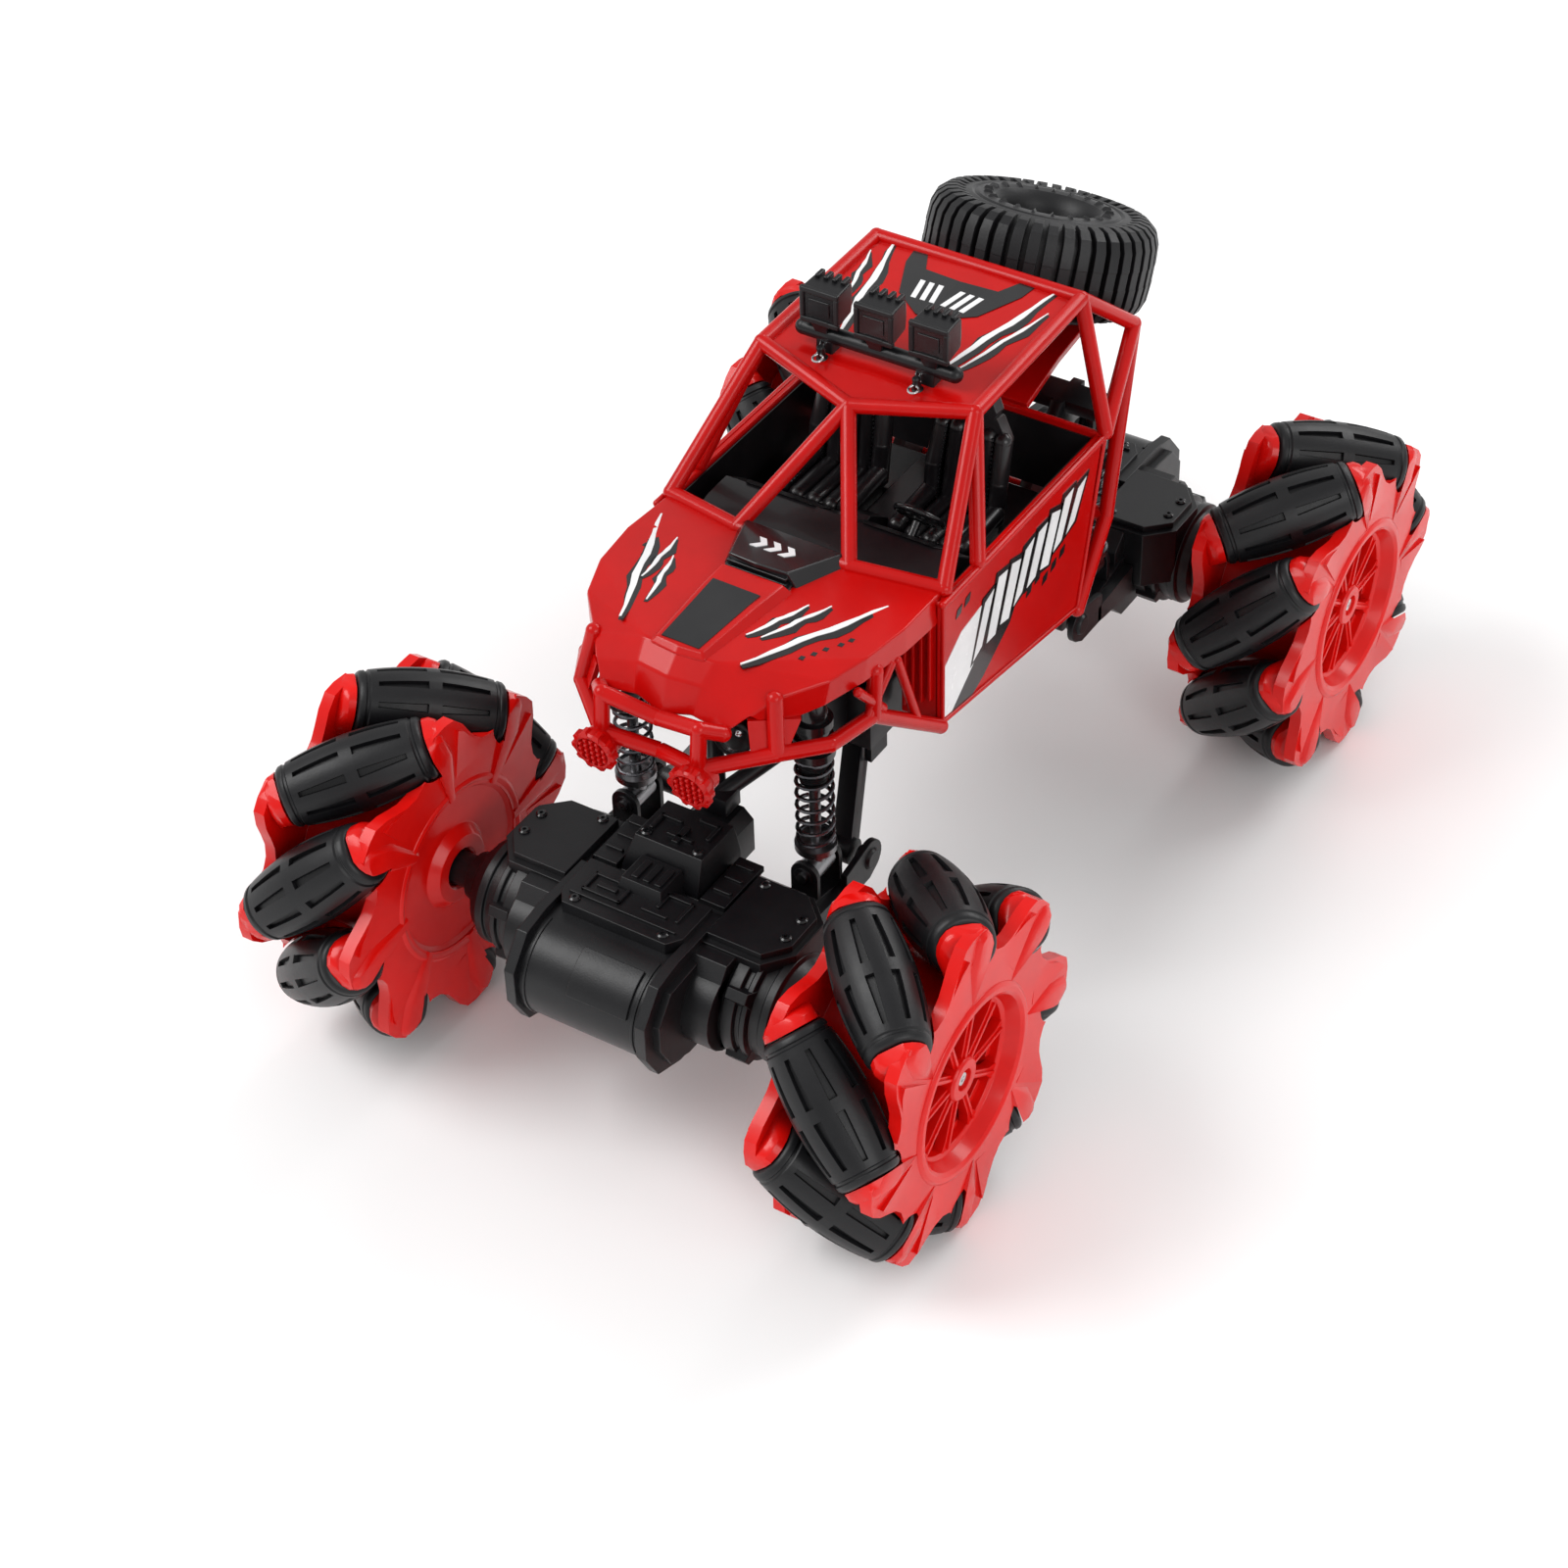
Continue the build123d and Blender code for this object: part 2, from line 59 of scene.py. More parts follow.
# ---- materials -------------------------------------------------------------------
def moulded(name, light, dark, rough, blotch=60.0, grain=2200.0, grain_depth=0.02, coat=0.0, metallic=0.0,
            shine=0.36):
    """Plastic, rubber or metal: two close tones in soft blotches, uneven gloss and a fine grain."""
    material = bpy.data.materials.new(name)
    material.use_nodes = True
    tree = material.node_tree
    link = tree.links.new
    shader = tree.nodes["Principled BSDF"]
    place = tree.nodes.new("ShaderNodeTexCoord")

    def fill(node, values):
        for key, value in values.items():
            node.inputs[key].default_value = value
        return node

    def noise(scale, detail, roughness):
        node = tree.nodes.new("ShaderNodeTexNoise")
        link(place.outputs["Object"], node.inputs["Vector"])
        return fill(node, {"Scale": scale, "Detail": detail, "Roughness": roughness}).outputs["Fac"]

    fill(shader, {"Metallic": metallic, "Coat Weight": coat, "Coat Roughness": 0.08,
                  "Specular IOR Level": 0.5 if metallic else shine})
    tones = tree.nodes.new("ShaderNodeValToRGB")
    for stop, position, tone in zip(tones.color_ramp.elements, (0.35, 0.65), (dark, light)):
        stop.position = position
        stop.color = (*tone, 1)
    link(noise(blotch, 4.0, 0.6), tones.inputs["Fac"])
    link(tones.outputs["Color"], shader.inputs["Base Color"])
    gloss = fill(tree.nodes.new("ShaderNodeMapRange"), {"To Min": rough[0], "To Max": rough[1]})
    link(noise(blotch * 5, 6.0, 0.7), gloss.inputs["Value"])
    link(gloss.outputs["Result"], shader.inputs["Roughness"])
    bump = fill(tree.nodes.new("ShaderNodeBump"), {"Strength": grain_depth, "Distance": 0.0004})
    link(noise(grain, 3.0, 0.6), bump.inputs["Height"])
    link(bump.outputs["Normal"], shader.inputs["Normal"])
    return material


# for each slot: light tone, dark tone, lowest and highest roughness, and what differs from the usual
LOOKS = {
    "red_body": ((0.50, 0.002, 0.0015), (0.44, 0.002, 0.0015), (0.20, 0.30),
                 dict(grain=350, grain_depth=0.03, coat=0.1, shine=0.22)),
    "red_wheel": ((0.70, 0.005, 0.003), (0.60, 0.003, 0.002), (0.20, 0.30),
                  dict(grain=420, grain_depth=0.012, coat=0.12, shine=0.26)),
    "black_plastic": ((0.006, 0.006, 0.007), (0.003, 0.003, 0.004), (0.30, 0.44),
                      dict(grain=2600, grain_depth=0.08)),
    "black_interior": ((0.010, 0.009, 0.010), (0.005, 0.004, 0.005), (0.22, 0.40),
                       dict(grain=900, grain_depth=0.06, coat=0.2)),
    "tyre_rubber": ((0.008, 0.008, 0.009), (0.004, 0.004, 0.005), (0.36, 0.54),
                    dict(grain=1500, grain_depth=0.10)),
    "roller_rubber": ((0.006, 0.006, 0.007), (0.003, 0.003, 0.004), (0.34, 0.50),
                      dict(grain=1800, grain_depth=0.08)),
    "shock_black": ((0.009, 0.009, 0.010), (0.004, 0.004, 0.005), (0.16, 0.28),
                    dict(grain=900, grain_depth=0.03, coat=0.3)),
    "shock_steel": ((0.30, 0.30, 0.31), (0.20, 0.20, 0.21), (0.22, 0.36), dict(grain=1200, metallic=1.0)),
    "spring_steel": ((0.16, 0.16, 0.17), (0.07, 0.07, 0.08), (0.20, 0.34), dict(grain=1200, metallic=1.0)),
    "motor_steel": ((0.55, 0.55, 0.55), (0.42, 0.42, 0.43), (0.24, 0.40), dict(grain=1400, metallic=1.0)),
    "battery_wrap": ((0.03, 0.09, 0.40), (0.02, 0.06, 0.30), (0.16, 0.26), dict(grain=700, coat=0.3)),
    "board_green": ((0.015, 0.15, 0.05), (0.008, 0.09, 0.03), (0.30, 0.45), dict(grain=900)),
    "sticker_white": ((0.86, 0.86, 0.86), (0.74, 0.74, 0.75), (0.20, 0.32), dict(grain=600, coat=0.4)),
    "sticker_black": ((0.010, 0.010, 0.011), (0.005, 0.005, 0.006), (0.18, 0.30), dict(grain=600, coat=0.4)),
    "bright_metal": ((0.80, 0.80, 0.81), (0.62, 0.62, 0.64), (0.10, 0.20), dict(grain=900, metallic=1.0)),
}
materials = {name: moulded(name, *look[:3], **look[3]) for name, look in LOOKS.items()}

for part in frame["record"]["subparts"]:
    cad = nodes[part["node"]]
    cad.data.materials.clear()
    cad.data.materials.append(materials[part["material_slot"]])


# ---- drawing in millimetres --------------------------------------------------------
ALONG_X = Matrix(((0, 0, 1, 0), (1, 0, 0, 0), (0, 1, 0, 0), (0, 0, 0, 1)))  # outlines of (y, z), extruded along X


def aimed(axis, origin=(0, 0, 0)):
    """A place whose own Z points along axis."""
    turn = Vector(axis).to_track_quat("Z", "Y").to_matrix().to_4x4()
    return Matrix.Translation(Vector(origin)) @ turn


def turned(place, angle, axis="Z"):
    return place @ Matrix.Rotation(angle, 4, axis)


def around(place, count, shift=0.0):
    """Places at equal steps about the place's own Z."""
    return [turned(place, tau * (i + shift) / count) for i in range(count)]


def drawn(place, points):
    return [place @ Vector(p) for p in points]


def corners(xs, pairs):
    """The points with each x and each (y, z) pair."""
    return [(x, y, z) for x in xs for y, z in pairs]


def arc(middle, radius, start, end, steps):
    """Points on an arc about middle, in degrees from the first axis."""
    turns = [radians(start + (end - start) * i / steps) for i in range(steps + 1)]
    return [(middle[0] + radius * cos(turn), middle[1] + radius * sin(turn)) for turn in turns]


def linked(name, data):
    obj = bpy.data.objects.new(name, data)
    scene.collection.objects.link(obj)
    return obj


def mesh_from(name, bm, slot, crisp=32, outward=True):
    """A finished mesh, smooth across edges that turn by less than crisp degrees, from one in millimetres."""
    bmesh.ops.scale(bm, vec=(MM, MM, MM), verts=bm.verts)
    if outward:
        bmesh.ops.recalc_face_normals(bm, faces=bm.faces)
    for face in bm.faces:
        face.smooth = True
    for edge in bm.edges:
        edge.smooth = len(edge.link_faces) == 2 and edge.calc_face_angle() < radians(crisp)
    mesh = bpy.data.meshes.new(name)
    bm.to_mesh(mesh)
    bm.free()
    mesh.materials.append(materials[slot])
    return mesh


def piece(name, bm, slot, body="chassis", replaced=(), bevel=0.0, crisp=32):
    """Makes a mesh drawn in millimetres into a piece that rides on a body."""
    obj = linked(name, mesh_from(name, bm, slot, crisp))
    if bevel:
        round_edges(obj, bevel)
    if body:
        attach(obj, body)
    if replaced:
        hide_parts(*replaced)
    return obj


def round_edges(obj, width, turn=32, segments=2):
    modifier = obj.modifiers.new("rounded", "BEVEL")
    modifier.width = width * MM
    modifier.segments = segments
    modifier.limit_method = "ANGLE"
    modifier.angle_limit = radians(turn)
    modifier.harden_normals = True
    modifier.use_clamp_overlap = True


def bridge(bm, low, high):
    """Joins two rings of equally many corners."""
    for i in range(len(low)):
        j = (i + 1) % len(low)
        bm.faces.new([low[i], low[j], high[j], high[i]])


def slab(bm, low, high):
    """Adds the solid between two outlines of as many points."""
    low, high = [[bm.verts.new(p) for p in outline] for outline in (low, high)]
    bm.faces.new(low[::-1])
    bm.faces.new(high)
    bridge(bm, low, high)


def prism(bm, outline, low, high, place=Matrix()):
    """Adds an outline of (x, y) points, extruded along the place's own Z."""
    slab(bm, *[drawn(place, [(x, y, z) for x, y in outline]) for z in (low, high)])


def block(bm, low, high, place=Matrix()):
    """Adds a box between two corners, whichever has the lower x."""
    left, right = sorted((low[0], high[0]))
    prism(bm, [(left, low[1]), (right, low[1]), (right, high[1]), (left, high[1])], low[2], high[2], place)


def circle(radius, steps, height, place=Matrix()):
    return drawn(place, [(radius * cos(tau * i / steps), radius * sin(tau * i / steps), height)
                         for i in range(steps)])


def lathe(bm, profile, steps=48, place=Matrix(), closed=False):
    """Turns (height, radius) points about the place's own Z. A radius of 0 closes an end."""
    rings = [[bm.verts.new(p) for p in circle(radius, steps, height, place)[:steps if radius else 1]]
             for height, radius in profile]
    pairs = list(zip(rings, rings[1:]))
    if closed:
        pairs.append((rings[-1], rings[0]))
    for low, high in pairs:
        for i in range(steps):
            j = (i + 1) % steps
            ends = [low[i % len(low)], low[j % len(low)], high[j % len(high)], high[i % len(high)]]
            ends = list(dict.fromkeys(ends))
            if len(ends) > 2:
                bm.faces.new(ends)


def hull(bm, points):
    """Adds the smallest convex solid around some points."""
    verts = [bm.verts.new(p) for p in points]
    made = bmesh.ops.convex_hull(bm, input=verts)
    spare = [v for v in set(made["geom_interior"] + made["geom_unused"]) if isinstance(v, bmesh.types.BMVert)]
    bmesh.ops.delete(bm, geom=spare, context="VERTS")


def taper(bm, place, *ends):
    """Adds a lug that reaches out from the place's own Z: the radius, half width and two heights of its ends."""
    hull(bm, drawn(place, [(radius, width, height) for radius, half, low, high in ends
                           for height in (low, high) for width in (-half, half)]))


def rod(bm, points, radius, steps=12):
    """Adds a round bar through some points, with a ball at each."""
    for a, b in zip(points, points[1:]):
        run = Vector(b) - Vector(a)
        lathe(bm, [(0, 0), (0, radius), (run.length, radius), (run.length, 0)], steps, aimed(run, a))
    for p in points:
        bmesh.ops.create_uvsphere(bm, u_segments=steps, v_segments=steps // 2, radius=radius * 1.02,
                                  matrix=Matrix.Translation(Vector(p)))


def combined(base, others):
    """A mesh joined with or cut by others, a list of (bmesh, operation)."""
    def loose(bm, name):
        mesh = bpy.data.meshes.new(name)
        bmesh.ops.recalc_face_normals(bm, faces=bm.faces)
        bm.to_mesh(mesh)
        bm.free()
        return linked(name, mesh)

    main = loose(base, "combined")
    tools = []
    for bm, operation in others:
        tool = loose(bm, "tool")
        modifier = main.modifiers.new(operation, "BOOLEAN")
        modifier.operation = operation
        modifier.object = tool
        modifier.solver = "EXACT"
        tools.append(tool)
    bpy.context.view_layer.update()
    graph = bpy.context.evaluated_depsgraph_get()
    result = bmesh.new()
    result.from_mesh(bpy.data.meshes.new_from_object(main.evaluated_get(graph)))
    for obj in [main, *tools]:
        bpy.data.objects.remove(obj)
    bmesh.ops.remove_doubles(result, verts=result.verts, dist=0.02)
    bmesh.ops.dissolve_limit(result, angle_limit=radians(1), verts=result.verts, edges=result.edges)
    return result


# ---- wheels -------------------------------------------------------------------------
WHEELS = ("front_left", "front_right", "rear_left", "rear_right")
ROLLERS = range(1, 9)
roll_radius = 43.0  # the circle that the rollers make together
roller_circle = 34.0  # through the rollers' middles
skew = radians(45)
half_lobe = 22.5  # degrees from a roller to the middle of the lobe that holds its end


def barrel(s):
    """Radius of a roller at s from its middle."""
    return roll_radius - hypot(roller_circle, s * sin(skew))


def roller_mesh():
    """A barrel of rubber about Z, with two rows of ten tapering slots and a plain band between them."""
    slots = 10
    slot_depth = 1.1
    slot_start, slot_end = 1.6, 12.6
    slot_half_wide, slot_half_narrow = 0.9, 0.5
    lip = 0.12  # how far a slot's wall leans
    stations = [0, 1.2, slot_start - lip, slot_start, 4.5, 7.5, 10.5, slot_end, slot_end + lip, 14.3, 14.6, 15.1,
                15.4, 16.3, 16.8, 17.0]
    lowered = {14.6: 0.35, 15.1: 0.35, 16.8: 0.35, 17.0: 0.8}  # a groove near each end, and the rounded end
    bm = bmesh.new()
    rings = []
    for s in [-x for x in stations[:0:-1]] + stations:
        reach = abs(s)
        share = min(max((reach - slot_start) / (slot_end - slot_start), 0), 1)
        half = slot_half_wide + (slot_half_narrow - slot_half_wide) * share
        radius = barrel(s) - lowered.get(reach, 0)
        floor_radius = radius - slot_depth if slot_start <= reach <= slot_end else radius
        start = (half + lip) / radius
        ring = []
        for k in range(slots):
            middle = tau * k / slots
            for offset, r in ((-half - lip, radius), (-half, floor_radius), (half, floor_radius),
                              (half + lip, radius)):
                ring.append((r, middle + offset / radius))
            ring += [(radius, middle + start + (tau / slots - 2 * start) * part) for part in (0.25, 0.5, 0.75)]
        rings.append([bm.verts.new((r * cos(angle), r * sin(angle), s)) for r, angle in ring])
    for low, high in zip(rings, rings[1:]):
        bridge(bm, low, high)
    # the ends are dished around a collar on the pin
    for inner, sign in ((rings[0], -1), (rings[-1], 1)):
        for radius, height in ((5.0, 17.0), (4.4, 16.0), (3.2, 16.0), (3.0, 17.1), (1.8, 17.2)):
            following = [bm.verts.new((v.co.x * radius / v.co.xy.length, v.co.y * radius / v.co.xy.length,
                                       sign * height)) for v in inner]
            bridge(bm, inner, following)
            inner = following
        bm.faces.new(inner)
    return mesh_from("roller", bm, "roller_rubber")


def make_rollers():
    mesh = roller_mesh()
    for wheel in WHEELS:
        for k in ROLLERS:
            name = f"roller_{wheel}_{k}"
            joint = joints[f"{name}_spin"]
            obj = linked(f"tread_{wheel}_{k}", mesh)
            obj.matrix_world = aimed(joint["axis"], joint["pos_m"])
            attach(obj, name)
            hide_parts(name)


def wheel_place(wheel):
    """A wheel's middle, the side it is on, and the place whose Z points outwards along its axle."""
    centre = Vector(joints[f"drive_wheel_{wheel}"]["pos_m"]) / MM
    side = 1 if centre.x > 0 else -1
    return centre, side, aimed((side, 0, 0), centre)


def hub_plates(wheel):
    """Two plates whose knuckles hold the rollers."""
    centre, side, place = wheel_place(wheel)
    half_width = 15.5
    plate_inner = 12.6
    tip_radius = 41.6
    spins = [joints[f"roller_{wheel}_{k}_spin"] for k in ROLLERS]
    seats = [(Vector(joint["pos_m"]) / MM, Vector(joint["axis"]).normalized()) for joint in spins]

    def angle_of(point):
        spoke = point - centre
        return atan2(spoke.z, spoke.y)

    def trimmed(point, reach):
        """The point, pulled in to the wheel's tip radius and to reach from the middle plane."""
        offset = point - centre
        offset.x = min(max(offset.x, -reach), reach)
        across = hypot(offset.y, offset.z)
        if across > tip_radius:
            offset.y *= tip_radius / across
            offset.z *= tip_radius / across
        return centre + offset

    plates, knuckles, room, dish = [bmesh.new() for _ in range(4)]
    # angle from the middle of a lobe towards the free side, and radius there
    lobe = ((-half_lobe, 32.2), (-17, 32.6), (-12.5, 35), (-9, 39.2), (-6, 41.4), (0, 41.6), (4.5, 41.2), (9, 38.6),
            (13, 35.6), (17, 33.4))
    for outer in (-1, 1):
        outline = []
        for middle, axis in seats:
            end = 1 if axis.x * outer > 0 else -1
            angle = angle_of(middle)
            lean = 1 if (axis * end).dot(Vector((0, -sin(angle), cos(angle)))) > 0 else -1
            lobe_angle = angle + lean * radians(half_lobe)

            def at(*spots):
                """Points from the angle off the lobe's middle, the radius, and the height off the wheel's middle."""
                return [Vector((centre.x + outer * height,
                                centre.y + radius * cos(lobe_angle + lean * radians(turn)),
                                centre.z + radius * sin(lobe_angle + lean * radians(turn))))
                        for turn, radius, height in spots]

            outline += [(lobe_angle + lean * radians(turn), radius) for turn, radius in lobe]
            seat = aimed(axis * end, middle)
            cap = [trimmed(p, half_width + 1.0) for p in
                   circle(6.3, 20, 17.4, seat) + circle(6.1, 20, 19.0, seat) + circle(5.2, 20, 20.2, seat)
                   + circle(3.8, 20, 20.9, seat)]
            ridge_and_foot = at((1.5, 23.2 if outer == side else 14.0, half_width + 0.1), (-3, 24, plate_inner),
                                (6, 24, plate_inner), (9, 33, plate_inner), (-5, 33, plate_inner))
            hull(knuckles, cap + ridge_and_foot)
            # a sharp-edged blade beside each knuckle, falling away towards the next one
            top = ((4, 25.5, 15.6), (5, 38.5, 16.4), (9, 36.8, 16.0), (15, 33.4, 15.5), (13, 27.0, 15.5))
            hull(knuckles, at(*top, *[(turn, radius, 13.0) for turn, radius, height in top]))
        start = min(angle for angle, radius in outline)
        outline.sort(key=lambda corner: (corner[0] - start) % tau)
        ring = [(radius * cos(angle), radius * sin(angle)) for angle, radius in outline]
        prism(plates, ring, *sorted((outer * plate_inner, outer * half_width)), Matrix.Translation(centre) @ ALONG_X)
    for middle, axis in seats:
        profile = [(s, barrel(s) + 0.5) for s in (-17.35, -13, -9, -4.5, 0, 4.5, 9, 13, 17.35)]
        lathe(room, [(-17.35, 0), *profile, (17.35, 0)], 40, aimed(axis, middle))
    # the drum and the outer dish are cleared before the plates get their trimmed rim
    lathe(dish, [(-18, 0), (-18, 20.5), (18, 20.5), (18, 0)], 64, place)
    bm = combined(plates, [(knuckles, "UNION"), (room, "DIFFERENCE"), (dish, "DIFFERENCE")])
    piece(f"hub_plates_{wheel}", bm, "red_wheel", f"wheel_hub_{wheel}", bevel=0.3, crisp=28)


def hub_drum(wheel):
    """The drum and its dish with ten spokes, a black ring behind them as painted shade in the dish's recess, and a
    screw in the middle.
    """
    body = f"wheel_hub_{wheel}"
    place = wheel_place(wheel)[2]
    bm = bmesh.new()
    lathe(bm, [(-9.5, 0), (-9.5, 4.6), (-15.2, 4.6), (-15.9, 5.2), (-15.9, 8.4), (-15.2, 9.0), (-13.6, 10.5),
               (-14.4, 19.5), (-15.7, 21.4), (-16.0, 22.2), (-15.6, 23.0), (-14.2, 23.6), (-12.6, 22.4),
               (12.6, 22.4), (14.4, 23.8), (15.7, 23.2), (16.2, 22.4), (16.2, 21.2), (15.6, 20.3), (14.6, 19.8),
               (12.6, 18.9), (12.1, 18.0), (6.0, 17.4), (5.6, 16.8), (5.6, 6.4), (6.2, 5.8), (13.0, 5.2),
               (13.6, 4.7), (13.6, 2.6), (12.0, 2.3), (12.0, 0)], 96, place)
    spokes = 10
    for turn in around(place, spokes):
        # a spoke: a blade that widens where it meets the dish's wall, with a rib along its face
        prism(bm, [(4.6, -1.0), (15.2, -0.95), (18.4, -2.0), (18.4, 2.0), (15.2, 0.95), (4.6, 1.0)], 9.8, 12.3, turn)
        prism(bm, [(4.8, -0.4), (17.6, -0.35), (17.6, 0.35), (4.8, 0.4)], 12.1, 12.9, turn)
    for turn in around(place, spokes, 0.5):
        # a step at the foot of the window between two spokes
        block(bm, (16.0, -2.6, 5.0), (17.8, 2.6, 10.4), turn)
    piece(f"hub_drum_{wheel}", bm, "red_wheel", body, [body], bevel=0.22, crisp=28)
    # painted shade: a black ring behind the spokes stands in for the shade in the dish's deep recess
    bm = bmesh.new()
    lathe(bm, [(5.0, 5.9), (8.0, 6.6), (8.4, 16.2), (7.6, 16.8), (5.0, 16.8)], 60, place, closed=True)
    piece(f"hub_painted_shade_{wheel}", bm, "black_interior", body)
    bm = bmesh.new()
    lathe(bm, [(11.0, 0), (11.0, 2.0), (12.5, 2.0), (13.0, 1.5), (13.0, 0.7), (12.5, 0.6), (12.5, 0)], 24, place)
    piece(f"hub_screw_{wheel}", bm, "bright_metal", body)


make_rollers()
for wheel in WHEELS:
    hub_plates(wheel)
    hub_drum(wheel)


# ---- body shell ----------------------------------------------------------------------
def mirrored(point):
    return (-point[0], point[1], point[2])


def thin_shell(name, faces, inside, thickness, rounding, slot="red_body"):
    """Facets given by their corners on the left side, mirrored, and made into a thin wall with rounded folds.

    The wall grows from the facets towards the inside point.
    """
    bm = bmesh.new()
    found = {}

    def vert(point):
        key = tuple(round(c, 3) for c in point)
        if key not in found:
            found[key] = bm.verts.new(key)
        return found[key]

    for face in faces:
        bm.faces.new([vert(p) for p in face])
        bm.faces.new([vert(mirrored(p)) for p in reversed(face)])
    bm.normal_update()
    for face in bm.faces:
        if face.normal.dot(face.calc_center_median() - Vector(inside)) < 0:
            face.normal_flip()
    obj = linked(name, mesh_from(name, bm, slot, 20, outward=False))
    wall = obj.modifiers.new("wall", "SOLIDIFY")
    wall.thickness = thickness * MM
    wall.offset = -1
    wall.use_even_offset = True
    round_edges(obj, rounding, 7, 3)
    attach(obj, "chassis")


screen_base = (35.5, -27, 111)
screen_inner = (14.5, -32, 112.4)
fender_crest = (36.0, -44, 111.9)
hood_corner = (34.4, -57, 112.2)
hood_turn = (31.0, -67, 111.3)
hood_front = (9, -77, 114.5)
nose_shoulder = (23, -76, 109.5)
nose_brow = (8.2, -81.3, 110.6)
nose_cheek = (19.6, -80.5, 106.6)
nose_low = (15.7, -85, 103.5)
nose_tip = (7, -84, 104)
skirt_rear = (36.2, -31, 104)
skirt_crest = (36.0, -44, 105)
skirt_corner = (33.9, -58, 105.6)
skirt_turn = (30.0, -68, 104.6)
skirt_front = (22.5, -77, 102)
nose_chin = (0, -85.2, 102.4)
nose_ridge = (0, -78, 115.1)
nose_ridge_low = (0, -82.6, 110.9)


def hood():
    centre_back = (0, -32.6, 112.8)
    faces = [
        (centre_back, screen_inner, hood_front, nose_ridge),
        (nose_ridge, hood_front, nose_brow, nose_ridge_low),
        (nose_ridge_low, nose_brow, nose_tip, nose_chin),
        (screen_base, fender_crest, screen_inner),
        (fender_crest, hood_corner, screen_inner),
        (screen_inner, hood_corner, hood_front),
        (hood_corner, hood_turn, hood_front),
        (hood_turn, nose_shoulder, hood_front),
        (hood_front, nose_shoulder, nose_cheek, nose_brow),
        (nose_brow, nose_cheek, nose_low, nose_tip),
        (screen_base, skirt_rear, skirt_crest, fender_crest),
        (fender_crest, skirt_crest, skirt_corner, hood_corner),
        (hood_corner, skirt_corner, skirt_turn, hood_turn),
        (hood_turn, skirt_turn, skirt_front, nose_shoulder),
        (nose_shoulder, skirt_front, nose_cheek),
    ]
    thin_shell("hood_shell", faces, (0, -55, 98), 1.6, 0.55)

    back_low, mid_low, front_low = (9.8, -47, 112.9), (8.9, -58, 113.4), (7.2, -78, 114.4)
    back_high, mid_high, front_high = (7.8, -48, 115.4), (7.1, -58, 115.9), (5.8, -77, 115.9)
    faces = [
        ((0, -48, 115.4), back_high, mid_high, (0, -58, 116.0)),
        ((0, -58, 116.0), mid_high, front_high, (0, -77.6, 116.0)),
        (back_high, back_low, mid_low, mid_high),
        (mid_high, mid_low, front_low, front_high),
        (front_high, front_low, (0, -79.2, 114.6), (0, -77.6, 116.0)),
    ]
    thin_shell("hood_bulge", faces, (0, -62, 110), 1.2, 0.5)


def scoop():
    """The air scoop behind the bulge, with its dark mouth and the black sticker that covers it."""
    middle, crown, foot, lip = (0, -31.2, 114.8), (12.6, -31.0, 114.6), (14.6, -31.4, 112.2), (7.4, -46.0, 117.0)
    faces = [
        (middle, crown, lip, (0, -46.8, 117.4)),
        (crown, foot, (9.4, -45.4, 112.8), lip),
        (middle, (0, -30.6, 112.2), foot, crown),
    ]
    thin_shell("hood_scoop", faces, (0, -40, 111), 1.3, 0.4, "sticker_black")
    bm = bmesh.new()
    block(bm, (-7.2, -44.6, 112.6), (7.2, -43.0, 116.2))
    for z in (113.7, 115.2):
        block(bm, (-7.6, -46.9, z), (7.6, -44.0, z + 0.6))
    # a broad lip in front of the mouth
    hull(bm, corners((-8.4, 8.4), ((-45.2, 112.4), (-48.4, 112.4), (-47.8, 113.8), (-45.4, 114.0))))
    piece("scoop_mouth", bm, "sticker_black", bevel=0.15)


sunk = 0.3  # how far a sticker reaches into its panel


def flat_decal(name, outlines, plane, tone, lift):
    """Stickers on the plane through three points: outlines of (x, y), or of (y, z) where it stands upright."""
    a, b, c = [Vector(p) for p in plane]
    normal = (b - a).cross(c - a).normalized()
    upright = abs(normal.x) > 0.9
    if normal.dot(Vector((a.x, 0, 0)) if upright else Vector((0, 0, 1))) < 0:
        normal = -normal

    def spot(u, v):
        if upright:
            return Vector((a.x - (normal.y * (u - a.y) + normal.z * (v - a.z)) / normal.x, u, v))
        return Vector((u, v, a.z - (normal.x * (u - a.x) + normal.y * (v - a.y)) / normal.z))

    bm = bmesh.new()
    for outline in outlines:
        slab(bm, *[[spot(u, v) + normal * height for u, v in outline] for height in (-sunk, lift)])
    piece(name, bm, f"sticker_{tone}")


def paired_decals(name, outlines, plane, tone, lift):
    """Stickers on the left and, mirrored, on the right."""
    flat_decal(f"{name}_left", outlines, plane, tone, lift)
    flat_decal(f"{name}_right", [[(-x, y) for x, y in outline] for outline in outlines],
               [mirrored(p) for p in plane], tone, lift)


def slash(start, end, width, seed):
    """A torn streak from start to end: wide in its middle, with a jagged edge."""
    start, end = Vector(start), Vector(end)
    run = end - start
    across = Vector((-run.y, run.x)).normalized()
    steps = 10
    left, right = [], []
    for i in range(steps + 1):
        share = i / steps
        swell = width / 2 * sin(pi * min(max(share, 0.04), 0.97)) ** 0.6
        nick = 0.16 * width * sin(5.1 * i + seed)
        point = start + run * share + across * nick
        left.append(point + across * swell * (1 + 0.22 * sin(3.7 * i + seed)))
        right.append(point - across * swell * (1 + 0.22 * cos(4.3 * i + seed)))
    return [tuple(p) for p in left + right[::-1]]


